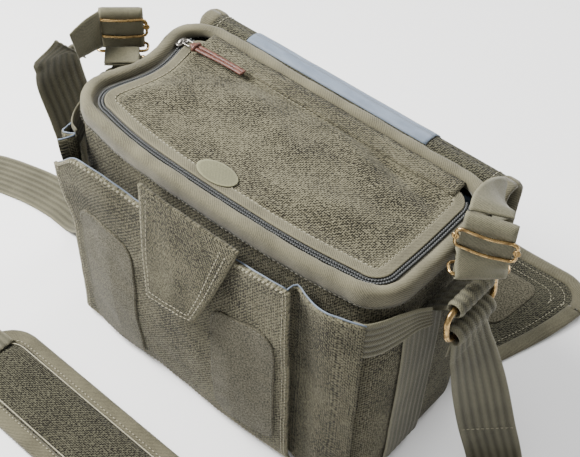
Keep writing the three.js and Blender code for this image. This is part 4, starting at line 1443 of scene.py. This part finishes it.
def pad_cloth():
    """The shoulder pad's stuffed body: a thin slab blown up by a short cloth simulation."""
    ring = rounded(PAD_LOW.x + 0.006, PAD_HIGH.x - 0.006, PAD_LOW.y + 0.006, PAD_HIGH.y - 0.006,
                   0.026, 0.006)

    def on_table(a, b, lift):
        return Vector((a, b, 0.0022 + lift))
    made = patch(ring, on_table, 0.0040, rings=10).piece("pad_body", DARK_CANVAS)
    bpy.context.view_layer.objects.active = made
    made.select_set(True)
    remesh = made.modifiers.new("even", "REMESH")
    remesh.mode = "VOXEL"
    remesh.voxel_size = 0.0045
    bpy.ops.object.modifier_apply(modifier="even")
    start = np.array([v.co for v in made.data.vertices])
    cloth = made.modifiers.new("stuffing", "CLOTH")
    cloth.settings.use_pressure = True
    cloth.settings.uniform_pressure_force = 4.0
    cloth.settings.effector_weights.gravity = 0.0
    cloth.settings.quality = 4
    for number in range(1, 21):
        bpy.context.scene.frame_set(number)
    bpy.ops.object.modifier_apply(modifier="stuffing")
    bpy.context.scene.frame_set(1)
    moved = np.array([v.co for v in made.data.vertices]) - start
    size = np.linalg.norm(moved, axis=1)
    cap = 0.0042
    moved *= np.minimum(1.0, cap / np.maximum(size, 1e-9))[:, None]
    final = start + moved
    lengthwise = np.clip(final[:, 0], PAD_LOW.x + 0.003, PAD_HIGH.x - 0.003)
    final[:, 0] = lengthwise
    final[:, 1] = np.clip(final[:, 1], PAD_LOW.y + 0.003, PAD_HIGH.y - 0.003)
    final[:, 2] = np.clip(final[:, 2], 0.0006, PAD_HIGH.z + 0.002)
    for vertex, place in zip(made.data.vertices, final):
        vertex.co = place
    finer = made.modifiers.new("finer", "SUBSURF")
    finer.levels = 1
    finer.render_levels = 1
    layer = made.data.uv_layers.get("cloth") or made.data.uv_layers.new(name="cloth")
    for loop in made.data.loops:
        co = made.data.vertices[loop.vertex_index].co
        layer.data[loop.index].uv = (co.x, co.y)
    made.data.shade_smooth()
    return made


def make_pad():
    """The shoulder pad's binding and stitch lines round its stuffed body."""
    made = pad_cloth()
    set_up(made, "bag", ["shoulder_pad"])

    inset = 0.0068
    ring = rounded(PAD_LOW.x + inset, PAD_HIGH.x - inset, PAD_LOW.y + inset, PAD_HIGH.y - inset,
                   0.026, 0.004)
    path = [Vector((a, b, 0.0052)) for a, b in ring]
    sides = []
    for t in tangents(path, True):
        sides.append(Vector((t.y, -t.x, 0)))
    profile = []
    for k in range(20):
        turn = TAU * k / 20
        reach = math.copysign(abs(math.cos(turn)) ** 0.7, math.cos(turn)) * 0.0078
        profile.append((reach - 0.0002, math.copysign(abs(math.sin(turn)) ** 0.55, math.sin(turn)) * 0.0039))
    binding = Sketch()
    sweep(binding, path, sides, profile, ring=True)
    set_up(binding.piece("pad_binding", BINDING), "bag")

    lines = Sketch()
    for inset, height in ((0.0160, 0.0098), (0.0118, 0.0093)):
        ring = rounded(PAD_LOW.x + inset, PAD_HIGH.x - inset, PAD_LOW.y + inset, PAD_HIGH.y - inset,
                       0.036 - inset, 0.004)
        line = [Vector((a, b, height)) for a, b in ring + ring[:1]]
        if inset > 0.015:
            sweep(lines, line[:-1], [Vector((0, 0, 1))] * (len(line) - 1), round_profile(0.0006, 6),
                  ring=True)
        else:
            stitch_row(lines, line, [Vector((0, 0, 1))] * len(line), radius=0.0004)
    set_up(lines.piece("pad_stitches", PALE_THREAD), "bag")


# ------------------------------------------------------------------ cover flap, thrown back
CREST_LOW, CREST_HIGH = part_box("flap_crest")
TOP_LOW, TOP_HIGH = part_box("flap_top")
END_LOW, END_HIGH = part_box("flap_end")
FLAP_HALF = CREST_HIGH.x
DROP_Y = (TOP_LOW.y + TOP_HIGH.y) / 2
RIDGE_DROP = 0.0085      # how far the drawn ridge lies below the middle of the CAD's crest
RIDGE_Z = (CREST_LOW.z + CREST_HIGH.z) / 2 - RIDGE_DROP
END_Z = (END_LOW.z + END_HIGH.z) / 2
SEAM_Y = (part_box("flap_seam_strip")[0].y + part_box("flap_seam_strip")[1].y) / 2


def flap_route():
    """The flap's middle line in y and z, from its seam on the back wall to its end on the table."""
    ridge = RIDGE_Z
    points = [(SEAM_Y, z) for z in np.linspace(0.204, ridge - 0.010, 12)]
    bend = 0.008
    for k in range(1, 8):
        a = math.pi - math.pi / 2 * k / 8
        points.append((SEAM_Y + bend + bend * math.cos(a), ridge - bend + bend * math.sin(a)))
    points += [(SEAM_Y + bend, ridge), (SEAM_Y + bend + 0.003, ridge)]
    bend = DROP_Y - points[-1][0]
    for k in range(1, 13):
        a = math.pi / 2 * (1 - k / 12)
        points.append((DROP_Y - bend + bend * math.cos(a), ridge - bend + bend * math.sin(a)))
    points += [(DROP_Y, z) for z in np.linspace(ridge - bend - 0.006, END_Z + 0.014, 40)]
    bend = 0.010
    for k in range(1, 9):
        a = math.pi + math.pi / 2 * k / 8
        points.append((DROP_Y + bend + bend * math.cos(a), END_Z + bend + bend * math.sin(a)))
    points += [(y, END_Z) for y in np.linspace(DROP_Y + bend + 0.004, END_HIGH.y, 30)]
    return spline([(0.0, y, z) for y, z in points], 0.0030)


FLAP = flap_route()
FLAP_RUN = np.array(lengths([r[:3] for r in FLAP]))
FLAP_LENGTH = float(FLAP_RUN[-1])
FLAP_CORNER = 0.036
FLAP_BINDING_WIDE = 0.0150
FLAP_BINDING_THICK = 0.0052
FLAP_BINDING_INSET = 0.0058              # from the flap's edge to the middle of its binding
FLAP_SEAM_INSETS = (0.0185, 0.0300)      # the two stitch lines inside the binding
FLAP_SEAM_LIFT = 0.0013
FLAP_FLARE = END_HIGH.x - FLAP_HALF      # how much wider each side is at its end


def flap_at(s):
    """Place and inner-side normal of the flap's middle line at distance s from its seam."""
    y = float(np.interp(s, FLAP_RUN, FLAP[:, 1]))
    z = float(np.interp(s, FLAP_RUN, FLAP[:, 2]))
    e = 0.002
    dy = float(np.interp(s + e, FLAP_RUN, FLAP[:, 1]) - np.interp(s - e, FLAP_RUN, FLAP[:, 1]))
    dz = float(np.interp(s + e, FLAP_RUN, FLAP[:, 2]) - np.interp(s - e, FLAP_RUN, FLAP[:, 2]))
    size = math.hypot(dy, dz)
    return y, z, -dz / size, dy / size


def flap(x, s, lift=0.0):
    """A point on the flap; lift is off the side that shows when it is thrown back."""
    y, z, ny, nz = flap_at(s)
    on_table = ease(FLAP_LENGTH - 0.14, FLAP_LENGTH - 0.10, s)
    hang = ease(0.05, 0.09, s) * (1 - on_table) * ease(0.010, 0.050, z)
    soft = -(0.0030 + 0.0018 * wave(x * 11, s * 13, 4.0)) * hang
    soft += 0.0007 * (0.5 + wave(x * 25, s * 25, 6.0)) * on_table
    skew = 0.024 * ease(FLAP_LENGTH - 0.22, FLAP_LENGTH - 0.02, s)
    curl = 0.004 * ease(0.10, 0.19, x) * ease(FLAP_LENGTH - 0.10, FLAP_LENGTH - 0.04, s)
    return Vector((x + skew, y + ny * (lift + soft), z + nz * (lift + soft) + curl))


def flap_half(s):
    """Half the flap's width at s: it flares to its end, and its two end corners are rounded."""
    left = FLAP_LENGTH - s
    half = FLAP_HALF + FLAP_FLARE * ease(FLAP_LENGTH - 0.21, FLAP_LENGTH - 0.01, s)
    if left >= FLAP_CORNER:
        return half
    return half - FLAP_CORNER + math.sqrt(max(0.0, FLAP_CORNER ** 2 - (FLAP_CORNER - left) ** 2))


def flap_s(y=None, z=None, after=0.0):
    """Distance along the flap where its middle line passes y, or z on its way down."""
    for s, row in zip(FLAP_RUN, FLAP):
        if s < after:
            continue
        if y is not None and row[1] >= y:
            return float(s)
        if z is not None and row[2] <= z:
            return float(s)
    return FLAP_LENGTH


FOLD_FRONT_Z = TOP_LOW.z - 0.001
CUT_CREST = flap_s(y=(CREST_LOW.y + CREST_HIGH.y) / 2)
CUT_TOP = flap_s(z=(TOP_LOW.z + TOP_HIGH.z) / 2, after=CUT_CREST + 0.02)
CUT_FRONT = flap_s(z=FOLD_FRONT_Z / 2 + 0.004, after=CUT_CREST + 0.02)
MID_Y = (CREST_LOW.y + CREST_HIGH.y) / 2
STRETCHES = (
    # name, from, to, two bodies, where the bend starts and ends, CAD nodes it stands for
    ("seam", 0.0, CUT_CREST, ("bag", "flap_crest"), (0, SEAM_Y, RIDGE_Z - 0.0090),
     (0, MID_Y - 0.001, RIDGE_Z), ["flap_seam_strip", "flap_crest"]),
    ("top", CUT_CREST, CUT_TOP, ("flap_crest", "flap_top"), (0, MID_Y + 0.001, RIDGE_Z),
     (0, DROP_Y, RIDGE_Z - 0.0160), ["flap_top"]),
    ("front", CUT_TOP, CUT_FRONT, ("flap_top", "flap_front"), (0, DROP_Y, FOLD_FRONT_Z + 0.010),
     (0, DROP_Y, FOLD_FRONT_Z - 0.010), ["flap_front"]),
    ("end", CUT_FRONT, FLAP_LENGTH, ("flap_front", "flap_end"), (0, DROP_Y, END_Z + 0.011),
     (0, DROP_Y + 0.011, END_Z), ["flap_end"]),
)


def flap_piece(name, sketch, material, stretch, nodes=(), thickness=0.0, closed=False):
    """Makes one piece of the flap, thickens it if asked, and hides the CAD nodes it stands for."""
    made = sketch.piece(name, material, closed=closed)
    if thickness:
        thicken(made, thickness)
    _, _, _, bodies, start, end, _ = stretch
    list(bodies)
    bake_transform(made)
    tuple(start)
    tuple(end)
    if nodes:
        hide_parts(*nodes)
    return made


def make_flap():
    """The cover flap in its four stretches."""
    lining_from, lining_left, lining_right = 0.040, -0.112, 0.086
    for stretch in STRETCHES:
        name, s0, s1, _, _, _, nodes = stretch
        steps = max(4, round((s1 - s0) / 0.004))
        runs = list(np.linspace(s0, s1, steps + 1))
        base = Sketch()
        rows = [[flap(x * flap_half(s), s) for x in np.linspace(-1, 1, 84)] for s in runs]
        worn = [[0.0] * 84 for _ in runs]
        base.grid(rows, [FLAP_HALF * 2 * k / 83 for k in range(84)], runs, wear=worn)
        cloth = flap_piece(f"flap_{name}_cloth", base, DARK_CANVAS, stretch, nodes, 0.0022)
        widths = [2 * flap_half(s) for s in runs]
        area = sum((a + b) / 2 for a, b in zip(widths, widths[1:])) * (s1 - s0) / steps

        if s1 > lining_from:
            first = max(s0, lining_from)
            last = min(s1, FLAP_LENGTH - 0.085)
            if last > first + 0.004:
                inner = Sketch()
                spans = np.linspace(first, last, max(4, round((last - first) / 0.004)) + 1)
                inner.grid([[flap(x, s, 0.0019 + 0.0004 * wave(x * 40, s * 40)) for x in
                             np.linspace(lining_left, lining_right, 56)] for s in spans])
                flap_piece(f"flap_{name}_lining", inner, LINING, stretch, thickness=0.0008)
        for side in (-1, 1):
            edging = Sketch()
            path = [flap(side * (flap_half(s) - FLAP_BINDING_INSET), s) for s in runs
                    if s < FLAP_LENGTH - FLAP_CORNER + 0.002]
            if len(path) > 2:
                profile = tape_profile(FLAP_BINDING_WIDE, FLAP_BINDING_THICK, 10)
                sweep(edging, path, [Vector((1, 0, 0))] * len(path), profile)
                hand = "left" if side < 0 else "right"
                flap_piece(f"flap_{name}_binding_{hand}", edging, BINDING, stretch,
                           closed=True)
        seam = Sketch()
        for side in (-1, 1):
            straight = [s for s in runs if s < FLAP_LENGTH - FLAP_CORNER]
            line = [flap(side * (flap_half(s) - FLAP_SEAM_INSETS[0]), s, FLAP_SEAM_LIFT) for s in straight]
            if len(line) > 2:
                ups = [Vector((0, flap_at(s)[2], flap_at(s)[3])) for s in straight]
                stitch_row(seam, line, ups, radius=0.00045)
        flap_piece(f"flap_{name}_stitches", seam, PALE_THREAD, stretch)

    make_flap_end()


def make_flap_end():
    """The rounded end's binding, its stitch lines and the hook patches."""
    edging, seams = Sketch(), Sketch()
    s_last = FLAP_LENGTH

    def round_end(inset, lift):
        ring = []
        x1, s1 = END_HIGH.x - inset, s_last - inset
        r = FLAP_CORNER - inset * 0.6
        start = s_last - FLAP_CORNER
        for sign in (1, -1):
            arc = [(x1 - r + r * math.sin(a), s1 - r + r * math.cos(a))
                   for a in np.linspace(math.pi / 2, 0, 14)]
            half = [(x1, start)] + arc
            if sign > 0:
                ring += [(x, s) for x, s in half]
                ring += [(x, s1) for x in np.linspace(x1 - r, -x1 + r, 50)[1:-1]]
            else:
                ring += [(-x, s) for x, s in reversed(half)]
        return [flap(x, s, lift) for x, s in ring]
    path = round_end(FLAP_BINDING_INSET, 0.0003)
    sides = [Vector((t.y, -t.x, 0)) for t in tangents(path)]
    sweep(edging, path, sides, tape_profile(FLAP_BINDING_WIDE, FLAP_BINDING_THICK, 10))
    made = edging.piece("flap_end_binding_round", BINDING)
    set_up(made, "flap_end")
    for inset in FLAP_SEAM_INSETS:
        line = round_end(inset, FLAP_SEAM_LIFT)
        stitch_row(seams, line, [Vector((0, 0, 1))] * len(line), radius=0.00045)
    for x in (-0.060, 0.060):
        line = [flap(x, s, FLAP_SEAM_LIFT) for s in np.linspace(s_last - 0.13, s_last - 0.030, 30)]
        stitch_row(seams, line, [Vector((0, 0, 1))] * len(line), radius=0.00045)
    set_up(seams.piece("flap_end_seams", PALE_THREAD), "flap_end")

    for side in ("left", "right"):
        low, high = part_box(f"hook_patch_{side}")
        ring = rounded(low.x, high.x, low.y, high.y, 0.014)

        def on_end(a, b, lift):
            s = FLAP_LENGTH - (END_HIGH.y - b)
            return flap(a, s, 0.0014 + lift)
        made = patch(ring, on_end, 0.0011, rings=8).piece(f"hook_patch_{side}_cloth", LOOP)
        set_up(made, "flap_end", [f"hook_patch_{side}"])


# ------------------------------------------------------------------ studio
def look_from(azimuth, elevation, roll, distance, target, lens):
    """Sets the camera; angles in degrees, azimuth 0 looking along +Y."""
    a, e, r = (math.radians(v) for v in (azimuth, elevation, roll))
    back = Vector((math.sin(a) * math.cos(e), -math.cos(a) * math.cos(e), math.sin(e)))
    right = Vector((math.cos(a), math.sin(a), 0))
    up = back.cross(right)
    tilted = right * math.cos(r) + up * math.sin(r)
    upright = up * math.cos(r) - right * math.sin(r)
    place = Vector(target) + back * distance
    camera = bpy.data.cameras.new("camera")
    camera.lens = lens
    camera.sensor_width = 36.0
    camera.sensor_fit = "HORIZONTAL"
    camera.clip_start = 0.01
    made = bpy.data.objects.new("camera", camera)
    bpy.context.scene.collection.objects.link(made)
    columns = Matrix((tilted, upright, back)).transposed()
    made.matrix_world = Matrix.Translation(place) @ columns.to_4x4()
    bpy.context.scene.camera = made


def area_light(name, place, aim, size, power, colour=(1.0, 1.0, 1.0)):
    """A round light at place, turned towards aim."""
    light = bpy.data.lights.new(name, "AREA")
    light.shape = "DISK"
    light.size = size
    light.energy = power
    light.color = colour
    made = bpy.data.objects.new(name, light)
    bpy.context.scene.collection.objects.link(made)
    made.location = place
    made.rotation_mode = "QUATERNION"
    made.rotation_quaternion = (Vector(aim) - Vector(place)).to_track_quat("-Z", "Y")


def make_studio():
    """The pale floor, an even white world and three soft lights."""
    n = Nodes("floor")
    n.finish(n.mix(n.noise(n.place(), 3.0), rgb(0.93, 0.93, 0.93), rgb(0.96, 0.96, 0.96)), 0.6, specular=0.2)
    floor = Sketch()
    reach = 6.0
    floor.grid([[Vector((x, y, -0.0004)) for x in (-reach, reach)] for y in (-reach, reach)])
    floor.piece("floor", n.material, closed=False)
    world = bpy.data.worlds.new("studio")
    world.use_nodes = True
    background = world.node_tree.nodes["Background"]
    background.inputs["Color"].default_value = (1.0, 1.0, 1.0, 1.0)
    background.inputs["Strength"].default_value = 0.60
    bpy.context.scene.world = world
    aim = (0.0, -0.02, 0.14)
    area_light("key", (-0.85, -0.48, 1.28), aim, 0.7, 70.0, (1.0, 0.99, 0.97))
    area_light("back", (0.10, 1.20, 1.20), aim, 0.9, 22.0)
    area_light("fill", (0.4, -1.5, 0.9), aim, 1.2, 1.0)


look_from(azimuth=39.45, elevation=47.14, roll=2.56, distance=0.9003,
          target=(0.03435, -0.02224, 0.18962), lens=68.28)
make_body()
make_padding()
make_rim()
make_lid()
make_zip()
make_slider()
make_pocket()
make_gussets()
make_tab()
make_sides()
for loop_side, loop_data in LOOPS.items():
    make_tape_loop(loop_side, loop_data)
    make_wire_slider(loop_side, loop_data)
    make_rim_ring(loop_side, loop_data)
make_tapes()
make_straps()
make_pad()
make_flap()
make_studio()
